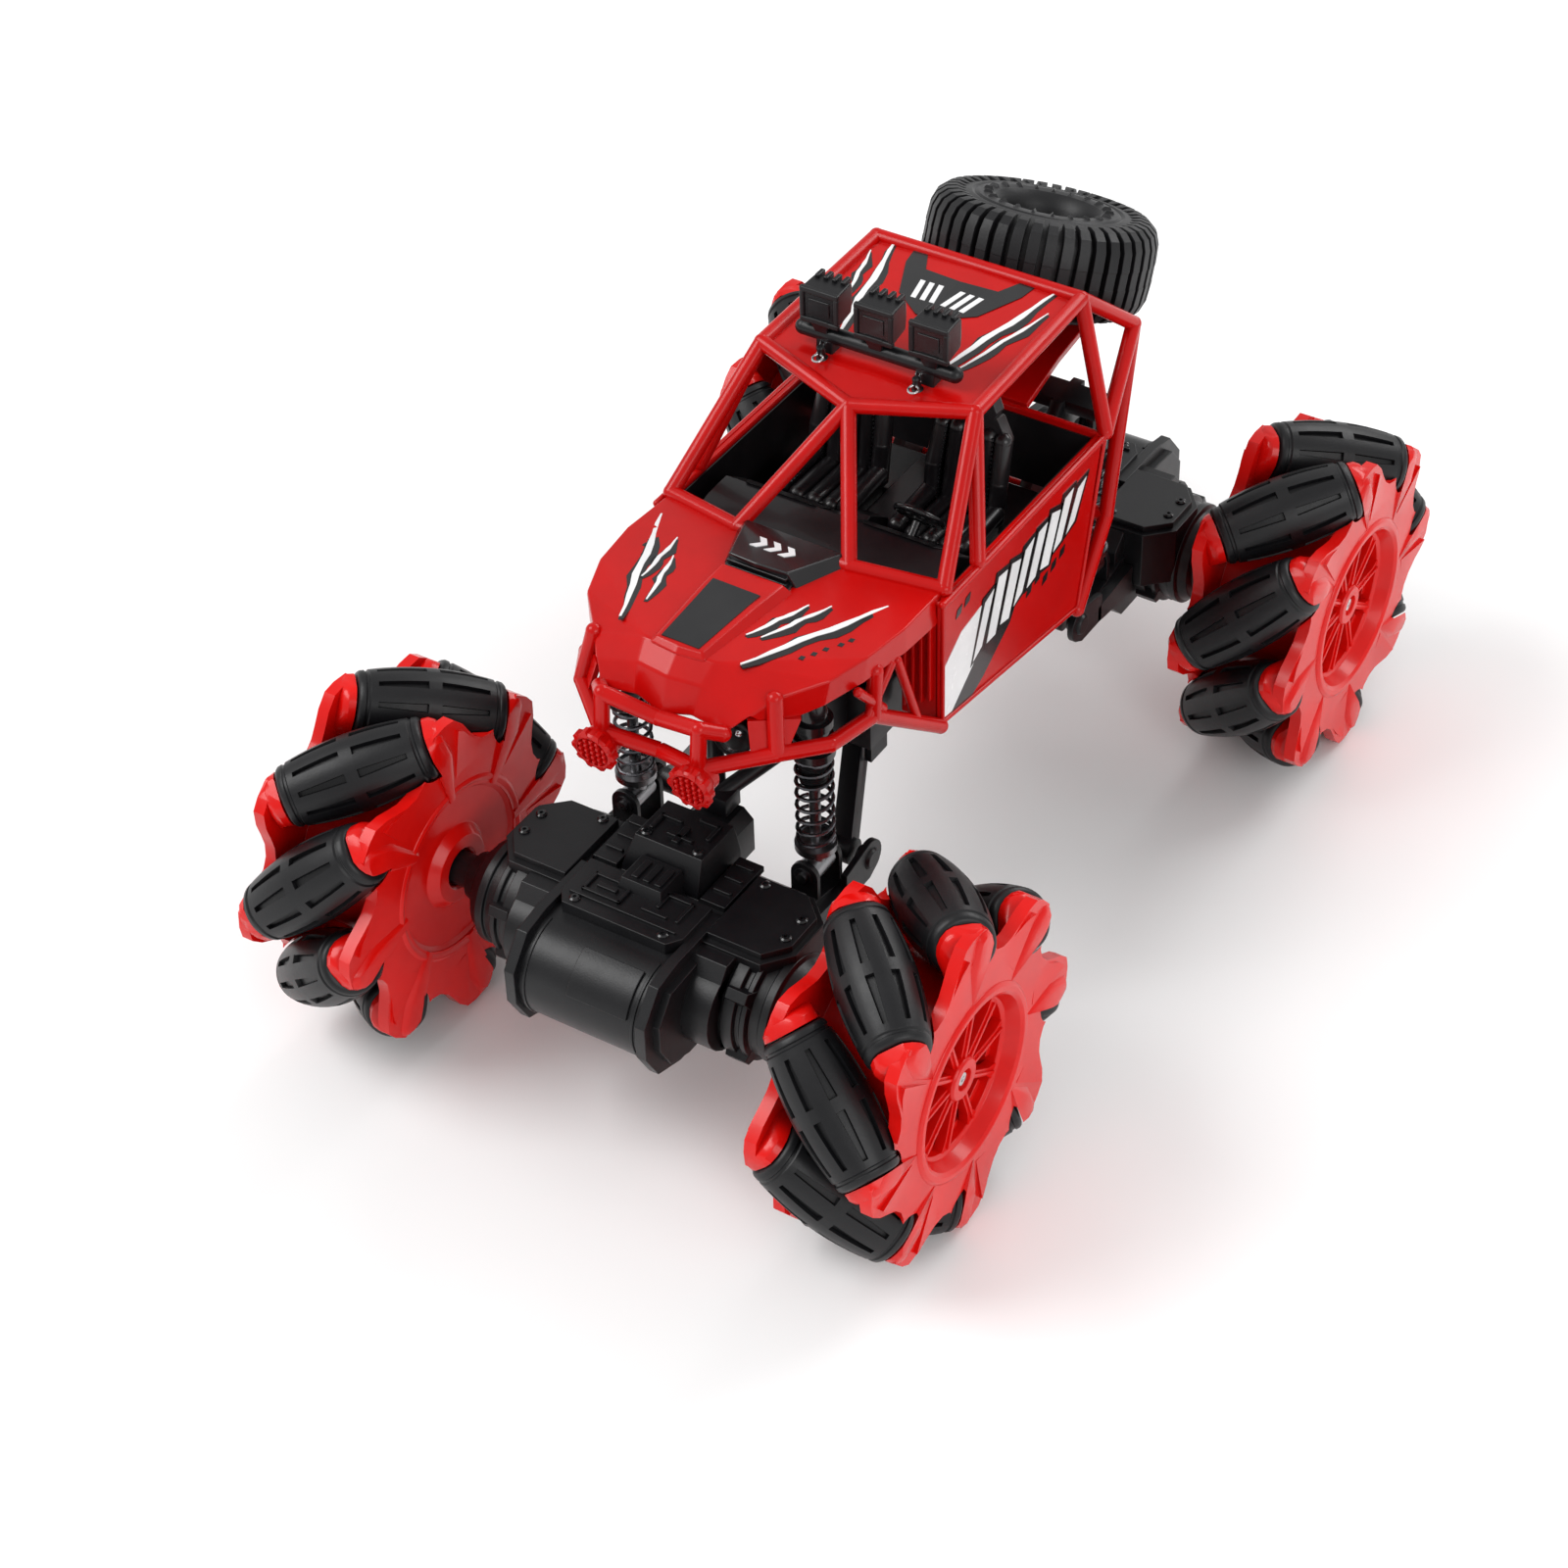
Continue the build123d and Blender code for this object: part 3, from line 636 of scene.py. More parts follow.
def streaks(name, lines, plane):
    """White torn streaks, each on a slightly wider and shifted black one."""
    shade = (0.6, -0.7)
    margin = 1.9
    dark = [slash(*[(u + shade[0], v + shade[1]) for u, v in (a, b)], width + margin, i)
            for i, (a, b, width) in enumerate(lines)]
    white = [slash(a, b, width, i) for i, (a, b, width) in enumerate(lines)]
    flat_decal(f"{name}_dark", dark, plane, "black", 0.10)
    flat_decal(f"{name}_white", white, plane, "white", 0.22)


def hood_stickers():
    bonnet = ((0, -58, 116.0), (7.1, -58, 115.9), (5.8, -77, 115.9))
    flat_decal("hood_sticker", [[(-6.0, -54.6), (6.0, -54.6), (5.3, -66), (4.7, -76.6), (-4.7, -76.6),
                                 (-5.3, -66)]], bonnet, "black", 0.18)
    top = ((0, -31.2, 114.8), (12.6, -31.0, 114.6), (7.4, -46.0, 117.0))
    chevrons = [[(x - 1.6, -40.7), (x + 0.2, -40.7), (x + 1.7, -38.6), (x + 0.2, -36.5), (x - 1.6, -36.5),
                 (x, -38.6)] for x in (-4.0, -0.4, 3.2)]
    flat_decal("scoop_chevrons", chevrons, top, "white", 0.22)
    left = (screen_inner, hood_corner, hood_front)
    right = [mirrored(p) for p in left]
    streaks("claws_left", [((13.8, -74.5), (29.0, -39.5), 1.5), ((9.5, -65.5), (14.9, -49.0), 1.0),
                           ((12.6, -64.5), (19.0, -46.5), 1.0)], left)
    streaks("claws_right", [((-17.6, -73.5), (-32.2, -35.5), 1.6), ((-22.0, -58.5), (-23.6, -42.0), 1.0),
                            ((-16.0, -65.5), (-20.4, -48.5), 1.0)], right)
    # rows of small dark marks beside the streaks
    marks = [[(x, y), (x + 1.1, y + 0.2), (x + 1.0, y + 1.5), (x, y + 1.3)]
             for x, y in ((22.6, -66.0), (24.0, -63.4), (25.2, -60.6), (27.0, -57.4), (28.0, -54.8))]
    flat_decal("marks_left", marks, left, "black", 0.1)
    flat_decal("marks_right", [[(-x - 1.0, y + 9) for x, y in mark] for mark in marks], right, "black", 0.1)


def roof():
    front, rear, ridge_front, ridge_rear = (27.5, 0, 138.5), (27, 49, 140), (0, 1.0, 138.9), (0, 49, 140.5)
    thin_shell("roof_panel", [((0, -8, 135.5), front, ridge_front), (ridge_front, front, rear, ridge_rear)],
               (0, 20, 110), 1.8, 0.8)
    plane = (front, rear, ridge_rear)
    # a black V with a red notch at its open end; half of it on each side of the roof's ridge
    half = [(0, 25.0), (2.5, 25.2), (10.2, 31.0), (15.2, 42.5), (16.0, 48.0), (12.8, 48.6), (9.5, 41.8), (0, 41.0)]
    paired_decals("roof_mark", [half], plane, "black", 0.2)
    bars = [[(x, 30.5), (x + 1.3, 30.5), (x + 2.7, 37.5), (x + 1.4, 37.5)] for x in (0.8, 3.2, 5.6)]
    paired_decals("roof_bars", bars, plane, "white", 0.3)
    streaks("roof_claws_left", [((12.8, 8.5), (21.2, 48.0), 1.5), ((16.4, 11.0), (23.6, 40.0), 0.9)], plane)
    streaks("roof_claws_right", [((-13.6, 8.5), (-21.6, 49.0), 1.6), ((-20.4, 25.0), (-24.8, 43.0), 0.9)],
            [mirrored(p) for p in plane])


belt_front, belt_rear = (37, -31, 110), (37, 44, 110)
sill_front, sill_rear = (37, -31, 76), (37, 33, 66)


def side_and_back():
    thin_shell("side_panels", [(belt_front, belt_rear, sill_rear, sill_front)], (0, 0, 90), 1.8, 0.7)
    # a raised moulding along the belt line and round the panel's foot
    bm = bmesh.new()
    for side in SIDES:
        x = side * 37.2
        rod(bm, [(x, -30.4, 109.4), (x, 43.5, 109.4)], 0.9)
        rod(bm, [(x, -30.4, 109.4), (x, -30.4, 76.6), (x, 32.6, 66.8), (x, 43.5, 109.4)], 0.55)
    piece("side_mouldings", bm, "red_body")

    thin_shell("back_panel", [(belt_rear, (0, 44, 110), (0, 39.75, 93), (37, 39.75, 93))], (0, 0, 100), 1.8, 0.6)


def cab_lining():
    """Black lining inside the side panels and in front of the back panel."""
    bm = bmesh.new()
    for side in SIDES:
        block(bm, (side * 34.6, -28.6, 84), (side * 35.0, 39.5, 109))
    hull(bm, [(x, y - 0.25 * (109 - z), z) for x in (-34.4, 34.4) for y in (41.3, 41.7) for z in (94, 109)])
    piece("cab_lining", bm, "black_interior")


def front_liners():
    bm = bmesh.new()
    for side in SIDES:
        block(bm, (side * 27, -31, 76.2), (side * 36.4, -29, 110))
        # upright ribs on the liner behind the front wheel
        for i in range(4):
            x = side * (28.2 + 2.1 * i)
            block(bm, (x - 0.45, -32.0, 79 + 1.2 * i), (x + 0.45, -30.5, 104.5))
    piece("front_liners", bm, "red_body", replaced=["body_shell"], bevel=0.3)


def tail_deck():
    bm = bmesh.new()
    prism(bm, [(-16, 45), (16, 45), (13, 66), (11, 92), (-11, 92), (-13, 66)], 108, 110)
    for x in (-8, 0, 8):
        block(bm, (x - 0.6, 47, 106.6), (x + 0.6, 90, 108.4))
    piece("tail_deck", bm, "red_body", bevel=0.4)


def side_stickers():
    """On each side: a wedge at the front foot, and slanted bars that climb to the rear."""
    wedge = [(-30.0, 77.4), (-30.0, 91.0), (-22.0, 96.5), (-12.0, 98.0), (-6.0, 88.5), (-16.0, 84.0), (-26.0, 76.8)]
    under = [(-26.5, 76.4), (-15.6, 84.4), (-4.5, 89.6), (6.0, 93.0), (0.0, 84.5), (-12.0, 77.2), (-18.0, 74.6)]
    squares = [[(y, z), (y + 2.2, z + 0.5), (y + 2.8, z + 2.6), (y + 0.6, z + 2.1)]
               for y, z in ((7.5, 86.2), (11.5, 87.4), (15.0, 84.8), (19.0, 86.0), (23.0, 87.2), (-24.5, 101.5),
                            (-20.8, 102.4))]
    lean = 4.6
    white, black = [], []
    for i in range(8):
        y = -17.0 + 6.1 * i
        foot = 84.6 + 1.15 * i
        height = 14.5 + 0.9 * sin(2.3 * i) - 0.5 * i
        tooth = 1.4 * cos(1.9 * i)
        black.append([(y - 1.0, foot - 1.0), (y + 5.0, foot - 0.6 + tooth), (y + 6.2 + lean, foot + height + 1.0),
                      (y + lean - 0.2, foot + height + 1.6 - tooth)])
        white.append([(y, foot), (y + 3.9, foot + 0.4 + tooth), (y + 4.6 + lean, foot + height),
                      (y + lean + 0.6, foot + height - tooth)])
    for hand, side in HANDS:
        plane = [(side * x, y, z) for x, y, z in (belt_front, belt_rear, sill_front)]
        for name, outlines, tone, lift in (("wedge", [wedge], "white", 0.16), ("shadow", [under], "black", 0.2),
                                           ("squares", squares, "black", 0.16), ("bars_dark", black, "black", 0.24),
                                           ("bars", white, "white", 0.32)):
            flat_decal(f"side_{name}_{hand}", outlines, plane, tone, lift)


hood()
scoop()
hood_stickers()
roof()
side_and_back()
cab_lining()
front_liners()
tail_deck()
side_stickers()


# ---- bumper lamps, headlights, body clips --------------------------------------------
def bumper_lamps():
    """Two moulded discs under the bumper, with a scalloped rim and a waffle of studs."""
    bm = bmesh.new()
    for side in SIDES:
        place = aimed((0, -1, -0.12), (side * 12.3, -93.0, 93.0))
        lathe(bm, [(-4.5, 0), (-4.5, 3.2), (-1.8, 4.7), (0.4, 5.0), (1.0, 4.6), (1.0, 3.9), (0.3, 3.7), (0.3, 0)],
              40, place)
        for turn in around(place, 10):
            taper(bm, turn, (4.2, 1.0, -1.6, 1.2), (5.5, 0.5, -1.0, 0.8))
        for i in range(-2, 3):
            for j in range(-2, 3):
                if hypot(i, j) < 2.5:
                    hull(bm, drawn(place, [(1.5 * i + u * half, 1.5 * j + v * half, z)
                                           for half, z in ((0.62, 0.2), (0.3, 1.3)) for u in (-1, 1) for v in (-1, 1)]))
    piece("bumper_lamps", bm, "red_body", bevel=0.08)


def fender_struts():
    """Fins from the nose down to the bumper's sides, and crossed struts behind the shock openings."""
    bm = bmesh.new()
    for side in SIDES:
        fin = [(19.2, -81.0, 105.4), (27.4, -72.6, 103.6), (26.4, -76.6, 97.4), (21.2, -83.0, 96.9)]
        hull(bm, [(side * (x - inward), y + back, z) for inward, back in ((0, 0), (0.8, 1.1)) for x, y, z in fin])
        for strut in (((34.0, -60.5, 105.0), (34.2, -51.0, 94.2)), ((34.8, -48.5, 104.8), (33.8, -57.0, 94.6)),
                      ((35.2, -46.5, 104.6), (35.8, -38.5, 82.0))):
            rod(bm, [(side * x, y, z) for x, y, z in strut], 1.15)
    piece("fender_struts", bm, "red_body", bevel=0.25)


def headlights():
    """Small round headlights between the nose and the bumper: a black case, a bright cup and a bulb."""
    cases, cups = bmesh.new(), bmesh.new()
    for side in SIDES:
        place = aimed((side * 0.25, -1, 0.05), (side * 15.4, -79.5, 98.6))
        lathe(cases, [(-7, 0), (-7, 2.6), (-2.0, 4.6), (1.2, 4.8), (1.6, 4.5), (1.6, 4.0), (0.4, 3.8), (-3.4, 0)],
              36, place)
        lathe(cups, [(-3.2, 0.8), (-2.2, 2.4), (-0.4, 3.4), (1.1, 3.8), (1.1, 4.0), (0.5, 4.0), (-0.9, 3.6),
                     (-2.7, 2.6), (-3.6, 0.8)], 36, place, closed=True)
        bmesh.ops.create_uvsphere(cups, u_segments=20, v_segments=12, radius=1.15,
                                  matrix=place @ Matrix.Translation((0, 0, -1.6)))
    piece("headlight_cases", cases, "black_plastic", bevel=0.1)
    piece("headlight_cups", cups, "bright_metal")


def hairpin(bm, place):
    """A body clip of bent wire: a ring, one straight leg through its post and one wavy leg."""
    straight = [(-5.0, -0.15), (-2.5, -0.15), (0.0, -0.35)]
    ring = arc((1.2, 0), 1.15, -150, 150, 14)
    wavy = [(-0.3, 0.5), (-1.3, 1.1), (-2.4, 0.7), (-3.3, 0.8), (-4.4, 1.5)]
    rod(bm, drawn(place, [(x, y, 0) for x, y in straight + ring + wavy]), 0.28, 8)


def body_clips():
    posts, clips = bmesh.new(), bmesh.new()
    for side in SIDES:
        lathe(posts, [(0, 0), (0, 1.5), (1.0, 1.4), (1.4, 1.0), (4.2, 0.9), (4.5, 0.6), (4.5, 0)], 20,
              aimed((0, -0.2, 1), (side * 12.3, 1.2, 137.7)))
        hairpin(clips, turned(aimed((0, -0.25, 1), (side * 12.3, -0.4, 140.4)), radians(-70)))
    piece("clip_posts", posts, "black_plastic")
    piece("body_clips", clips, "bright_metal")


# ---- light bar -----------------------------------------------------------------------
def light_bar():
    body, lenses = bmesh.new(), bmesh.new()
    bar_y, bar_z = 5.0, 142.5
    rod(body, [(-19.5, bar_y, bar_z), (19.5, bar_y, bar_z)], 1.9, 20)
    for side in SIDES:
        hull(body, [(side * 13 + x, bar_y + y, z) for x in (-2.2, 2.2) for y, z in
                    ((-2.2, 138.0), (2.6, 138.2), (-1.6, 142.4), (1.6, 142.4))])
    for middle in (-14, 0, 14):
        # neck, case narrowing to the rear, bezel, and cooling fins on the rear edge of its top
        hull(body, [(middle + x * w, bar_y + y * w, z) for x in (-1, 1) for y in (-1, 1)
                    for w, z in ((1.4, 142.5), (2.6, 147.0))])
        case = ((4.7, 3.4, 146.0, 154.3), (4.5, 9.0, 146.8, 154.5), (3.6, 11.0, 148.0, 153.0))
        hull(body, [(middle + x, y, z) for half, y, low, high in case for x in (-half, half) for z in (low, high)])
        for x0, z0, x1, z1 in ((-5.0, 145.6, 5.0, 146.9), (-5.0, 153.2, 5.0, 154.6), (-5.0, 146.8, -3.8, 153.4),
                               (3.8, 146.8, 5.0, 153.4)):
            block(body, (middle + x0, 2.5, z0), (middle + x1, 3.8, z1))
        for i in range(4):
            x = middle - 3.3 + 2.2 * i
            block(body, (x - 0.6, 7.4, 153.6), (x + 0.6, 10.4, 155.3))
        block(lenses, (middle - 3.9, 3.0, 146.8), (middle + 3.9, 3.6, 153.3))
        block(lenses, (middle - 2.6, 2.7, 148.2), (middle + 2.6, 3.2, 151.9))
    piece("lamp_bar", body, "black_plastic", replaced=["light_bar"], bevel=0.35)
    piece("lamp_lenses", lenses, "shock_black", bevel=0.1)


# ---- spare tyre ------------------------------------------------------------------------
def spare_tyre():
    """The spare wheel: a carcass, bars that wrap the shoulders, and the seat and stud that hold it."""
    place = turned(Matrix.Translation((0, 78.5, 129)), radians(-22), "X")
    bm = bmesh.new()
    half = [(0, 25.6), (6.6, 25.4), (8.6, 24.4), (10.0, 22.6), (10.8, 20.4), (11.1, 18.4), (10.7, 17.6), (11.2, 16.9),
            (11.4, 14.6), (11.0, 12.9), (9.8, 11.7), (7.6, 10.9), (4.4, 10.6)]
    lathe(bm, [(-h, r) for h, r in half[:0:-1]] + half + [(0, 10.5)], 96, place, closed=True)

    def on_both_walls(turn, points):
        for sign in (1, -1):
            hull(bm, drawn(turn, [(x, y, sign * z) for x, y, z in points]))

    bars = 42
    wrap = [(radius, width * radius / 27, height) for radius, height in
            ((22.0, 11.4), (24.4, 10.9), (26.4, 9.2), (27.4, 6.6), (27.7, 2.0), (25.0, 2.0), (24.4, 8.0), (21.0, 9.6))
            for width in (-1.32, 1.32)]
    for turn in around(place, bars):
        on_both_walls(turn, wrap + [(19.6, -0.5, 10.9), (19.6, 0.5, 10.9)])
        block(bm, (24.6, -1.34, -2.2), (27.6, 1.34, 2.2), turn)
    # a ring of small knobs on each side wall
    for turn in around(place, bars // 2, 0.5):
        on_both_walls(turn, [(13.0, -0.8, 10.6), (13.0, 0.8, 10.6), (16.0, -0.8, 10.8), (16.0, 0.8, 10.8),
                             (13.8, 0, 12.0), (15.4, 0, 12.0)])
    piece("spare_tread", bm, "tyre_rubber", replaced=["spare_tyre"], bevel=0.14, crisp=28)
    bm = bmesh.new()
    lathe(bm, [(-21, 0), (-21, 4.0), (-13, 4.0), (-13, 19), (-11.6, 19), (-11.6, 9.4), (-8.0, 8.6), (-8.0, 4.0),
               (5.6, 4.0), (6.6, 3.2), (7.0, 0)], 48, place)
    for turn in around(place, 6):
        block(bm, (3.5, -0.8, -11.7), (8.8, 0.8, -7.0), turn)
    piece("spare_holder", bm, "black_plastic", bevel=0.25)


# ---- cab interior -----------------------------------------------------------------------
seat_x = 15.5


def seat_back(side):
    """The place of a seat's leaning back."""
    return turned(Matrix.Translation((side * seat_x, 16.5, 97)), radians(-10), "X")


def cushion(bm, lean, depths, outline):
    """A padded block of a seat's back, from the half widths and heights of its outline."""
    hull(bm, drawn(lean, [(x, y, z) for half, z in outline for x in (-half, half) for y in depths]))


def cab_tub():
    bm = bmesh.new()
    block(bm, (-32, -28.5, 92), (32, 36, 93.6))
    # dashboard: a broad shelf behind the screen, with a low brow and a console below it
    hull(bm, corners((-30.5, 30.5), ((-27, 93.5), (-27.5, 106.6), (-20, 108.4), (-12.5, 108.6), (-6, 104.0),
                                     (-4.5, 99.0), (-7.0, 93.5))))
    for side in SIDES:
        brow = ((4, 27, -9, 106.8), (6, 25, -13, 109.2), (5, 26, -7.5, 103.6))
        hull(bm, [(side * x, y, z) for near, far, y, z in brow for x in (near, far)])
    block(bm, (-4.0, -8, 93.5), (4.0, 30, 97.5))
    hull(bm, corners((-3, 3), ((-8, 97), (-8, 103), (-4, 104), (4, 98.5), (4, 97))))
    piece("cab_tub", bm, "black_interior", replaced=["interior_tray"], bevel=0.5)


def cab_seats():
    bm = bmesh.new()
    for side in SIDES:
        middle = side * seat_x
        hull(bm, corners((middle - 8.5, middle + 8.5), ((0, 93.5), (18, 93.5), (0.6, 99.0), (18, 98.0))))
        for i in range(3):
            x = middle - 4.6 + 4.6 * i
            rod(bm, [(x, 1.6, 98.2), (x, 15.5, 97.8)], 2.3, 16)
        for edge in (-1, 1):
            rod(bm, [(middle + edge * 8.8, 1.4, 99.4), (middle + edge * 8.8, 15.5, 100.4)], 2.2, 16)
        lean = seat_back(side)
        cushion(bm, lean, (0.8, 4.4), ((8.6, -2), (8.6, 20), (5.5, 25)))
        for i in range(3):
            x = -4.4 + 4.4 * i
            rod(bm, drawn(lean, [(x, 0.7, 1.5), (x * 0.9, 0.7, 20)]), 2.2, 16)
        for edge in (-1, 1):
            rod(bm, drawn(lean, [(edge * 8.4, -0.4, 1), (edge * 8.6, -0.8, 10), (edge * 7.8, 0.6, 20)]), 2.1, 16)
        cushion(bm, lean, (0.2, 3.8), ((5.0, 24.6), (5.6, 26.5), (3.8, 30)))
    piece("cab_seats", bm, "black_interior", bevel=0.45)


def cab_stitches():
    """Stitches along the seats' edges."""
    bm = bmesh.new()
    for side in SIDES:
        for edge in (-1, 1):
            for i in range(18):
                z = 1.5 + 1.1 * i
                x = edge * (6.4 - 0.05 * max(z - 12, 0))
                block(bm, (x - 0.22, -1.75 + 0.06 * max(z - 10, 0), z), (x + 0.22, 0.2, z + 0.62), seat_back(side))
            for i in range(11):
                y = 2.2 + 1.2 * i
                x = side * seat_x + edge * 6.9
                block(bm, (x - 0.22, y, 99.0), (x + 0.22, y + 0.66, 100.6))
    piece("cab_stitches", bm, "spring_steel")


def steering_wheel():
    bm = bmesh.new()
    wheel = aimed((0, 0.72, 0.62), (15, -2.5, 107.5))
    rim = [(0.8 * sin(tau * i / 14), 5.6 + 0.8 * cos(tau * i / 14)) for i in range(14)]
    lathe(bm, rim, 48, wheel, closed=True)
    for turn in around(wheel, 3, 0.75):
        block(bm, (0, -0.7, -0.9), (5.2, 0.7, 0.0), turn)
    lathe(bm, [(-8, 0), (-8, 1.0), (-1.4, 1.1), (-1.2, 1.9), (0.2, 1.8), (0.6, 1.2), (0.6, 0)], 24, wheel)
    piece("steering_wheel", bm, "shock_black", bevel=0.15)


# ---- shocks -----------------------------------------------------------------------------
shock_x, shock_y = 24.0, 63.0
shock_eye_z = 54.0  # the lower eye


def shock_bodies():
    """Turned bodies with threads and caps."""
    bm = bmesh.new()
    threads = []
    for i in range(11):
        z = 79.2 + 0.62 * i
        threads += [(z, 3.2), (z + 0.25, 3.55), (z + 0.4, 3.55)]
    for side in SIDES:
        for end in (-1, 1):
            lathe(bm, [(78.0, 1.6), (78.0, 3.0), (78.5, 3.3), *threads, (86.1, 3.3), (86.1, 4.9), (88.0, 4.9),
                       (88.2, 3.6), (90.0, 3.6), (90.0, 4.5), (91.2, 4.5), (91.2, 3.7), (94.0, 3.7), (94.0, 4.5),
                       (96.0, 4.5), (96.2, 3.4), (98.6, 3.2), (101.0, 2.6), (101.0, 1.6)], 36,
                  Matrix.Translation((side * shock_x, end * shock_y, 0)), closed=True)
    piece("shock_bodies", bm, "shock_black", replaced=["shock_cylinders"])


def springs():
    """Coils from the shocks' collars down to the seats on the rods, each in two parts."""
    seat_z, top_z = 61.2, 86.0
    coil_radius, wire, turns, wire_sides = 4.05, 0.48, 8.5, 8
    steps, cut = 170, 62  # the coil is split in two at the cut

    def rise(share):
        """Height of the wire's middle; the end turns lie closed on their seats."""
        z = seat_z + wire + (top_z - seat_z - 2 * wire) * min(max((share - 0.08) / 0.84, 0), 1)
        return z + (share < 0.08) * share * 6 - (share > 0.92) * (1 - share) * 6

    cut_z = rise(cut / steps)
    angles = [tau * j / wire_sides for j in range(wire_sides)]
    for end, axle in ((-1, "front"), (1, "rear")):
        for hand, side in HANDS:
            spot = Vector((side * shock_x, end * shock_y, 0))
            rings = []
            for i in range(steps + 1):
                turn = tau * turns * i / steps
                out = Vector((cos(turn), sin(turn), 0))
                middle = spot + out * coil_radius + Vector((0, 0, rise(i / steps)))
                rings.append([middle + out * (wire * cos(a)) + Vector((0, 0, wire * sin(a))) for a in angles])
            for name, part, joined, heights in (
                    ("spring", rings[cut:], ("chassis", f"{axle}_yoke"), (top_z, cut_z + 1)),
                    ("spring_foot", rings[:cut + 1], (f"{axle}_yoke", f"{axle}_axle"), (cut_z - 1, seat_z + 1))):
                bm = bmesh.new()
                wires = [[bm.verts.new(p) for p in ring] for ring in part]
                for low, high in zip(wires, wires[1:]):
                    bridge(bm, low, high)
                bm.faces.new(wires[0])
                bm.faces.new(wires[-1])
                coil = piece(f"{axle}_{name}_{hand}", bm, "spring_steel", None, ["shock_springs"])
                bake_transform(coil)


bumper_lamps()
fender_struts()
headlights()
body_clips()
light_bar()
spare_tyre()
cab_tub()
cab_seats()
cab_stitches()
steering_wheel()
shock_bodies()
springs()


# ---- axles ---------------------------------------------------------------------------
# Everything is drawn for the rear axle; turn brings it to its own end.
ALONG_MINUS_Y = Matrix(((1, 0, 0, 0), (0, 0, -1, 0), (0, 1, 0, 0), (0, 0, 0, 1)))  # outlines of (x, z)
roll_pin_z = 54.0


def gearbox(turn):
    """The middle of the case, with a bearing block and the bore that turns on the yoke's pin."""
    main = bmesh.new()
    prism(main, [(72, 36), (77, 31), (103, 31), (108, 36), (108, 52), (104, 57), (76, 57), (72, 53)], -27, 27,
          turn @ ALONG_X)
    bearing = bmesh.new()
    hull(bearing, drawn(turn, corners((-10, 10), ((72, 48), (89.5, 48), (72, 58.5), (89.5, 58.5)))
                        + corners((-8.8, 8.8), ((72.4, 65), (85.5, 65)))))
    bore = bmesh.new()
    lathe(bore, [(-82, 0), (-82, 3.45), (-71, 3.45), (-71, 0)], 36,
          turn @ ALONG_MINUS_Y @ Matrix.Translation((0, roll_pin_z, 0)))
    return combined(main, [(bearing, "UNION"), (bore, "DIFFERENCE")])


def nose_drum(bm, across):
    """Round in front, with end plates, a flat pad and a parting line."""
    drum = (110, 44.5)

    def on_both_ends(outline, inner, outer):
        prism(bm, outline, -outer, -inner, across)
        prism(bm, outline, inner, outer, across)

    nose = [(94, 32.5), *arc(drum, 12.5, -90, 90, 24), (94, 57)]
    prism(bm, nose, -16, 16, across)
    on_both_ends([(93, 30.6), (111, 30.6), (119.5, 33.4), (123.6, 41), (123.6, 50), (117.5, 57.4), (110, 58.8),
                  (93, 58.8)], 15.8, 18.4)
    on_both_ends([(95, 33), (110, 33), (117, 35.4), (120.6, 42), (120.6, 49), (115.6, 55), (95, 56.4)], 18.2, 20.2)
    pad = arc(drum, 13.1, 20, 72, 10) + arc(drum, 12.0, 72, 20, 10)
    prism(bm, pad, -12.6, 3.0, across)
    for x in (-14.4, 14.0):
        prism(bm, arc(drum, 12.8, -85, 88, 20) + arc(drum, 11.5, 88, -85, 20), x, x + 0.7, across)


def raised(bm, boxes, low, high, turn):
    """Low relief: boxes of (x, y, x, y) between two heights."""
    for x0, y0, x1, y1 in boxes:
        block(bm, (x0, y0, low), (x1, y1, high), turn)


def cover(bm, turn):
    """The plate over the drum, with moulded frames and a shallow step."""
    prism(bm, [(-16, 92.5), (16, 92.5), (16, 104), (13.5, 107.5), (-13.5, 107.5), (-16, 104)], 56, 60, turn)
    raised(bm, ((-12.5, 94, -11.7, 101), (-12.5, 94, -5.5, 94.8), (-6.3, 94, -5.5, 99), (2, 96, 12, 96.8),
                (2, 101.4, 12, 102.2), (2, 96, 2.8, 102.2), (11.2, 96, 12, 102.2), (-9.5, 100.4, -3, 101.2),
                (4.5, 98.4, 9.5, 99.8), (-13.8, 103.6, 13.8, 104.2)), 59.8, 60.7, turn)
    hull(bm, drawn(turn, corners((-6.4, 6.4), ((88, 57), (99, 57))) + corners((-5.2, 5.2), ((88, 62.5), (96.5, 62.5)))))
    raised(bm, [(x, 89.5, x + 1.6, 95.5) for x in (-4.4, -1.4, 1.6)], 62.3, 63.1, turn)


def deck(bm, turn):
    """Beside the bearing block, with tabs on the block's top."""
    for side in SIDES:
        block(bm, (side * 11, 74, 56.8), (side * 17.4, 90, 58.4), turn)
        raised(bm, [(side * 12, y, side * 16.4, y + 0.9) for y in (76.5, 81, 85.5)], 58.2, 59.1, turn)
    raised(bm, ((-7, 74.5, -1.5, 75.4), (-7, 74.5, -6.1, 80), (1.5, 77, 7, 77.9), (6.1, 77, 7, 82.5),
                (-4, 81.4, 2.5, 82.4), (-1.4, 78.5, 0.2, 84)), 64.8, 65.8, turn)


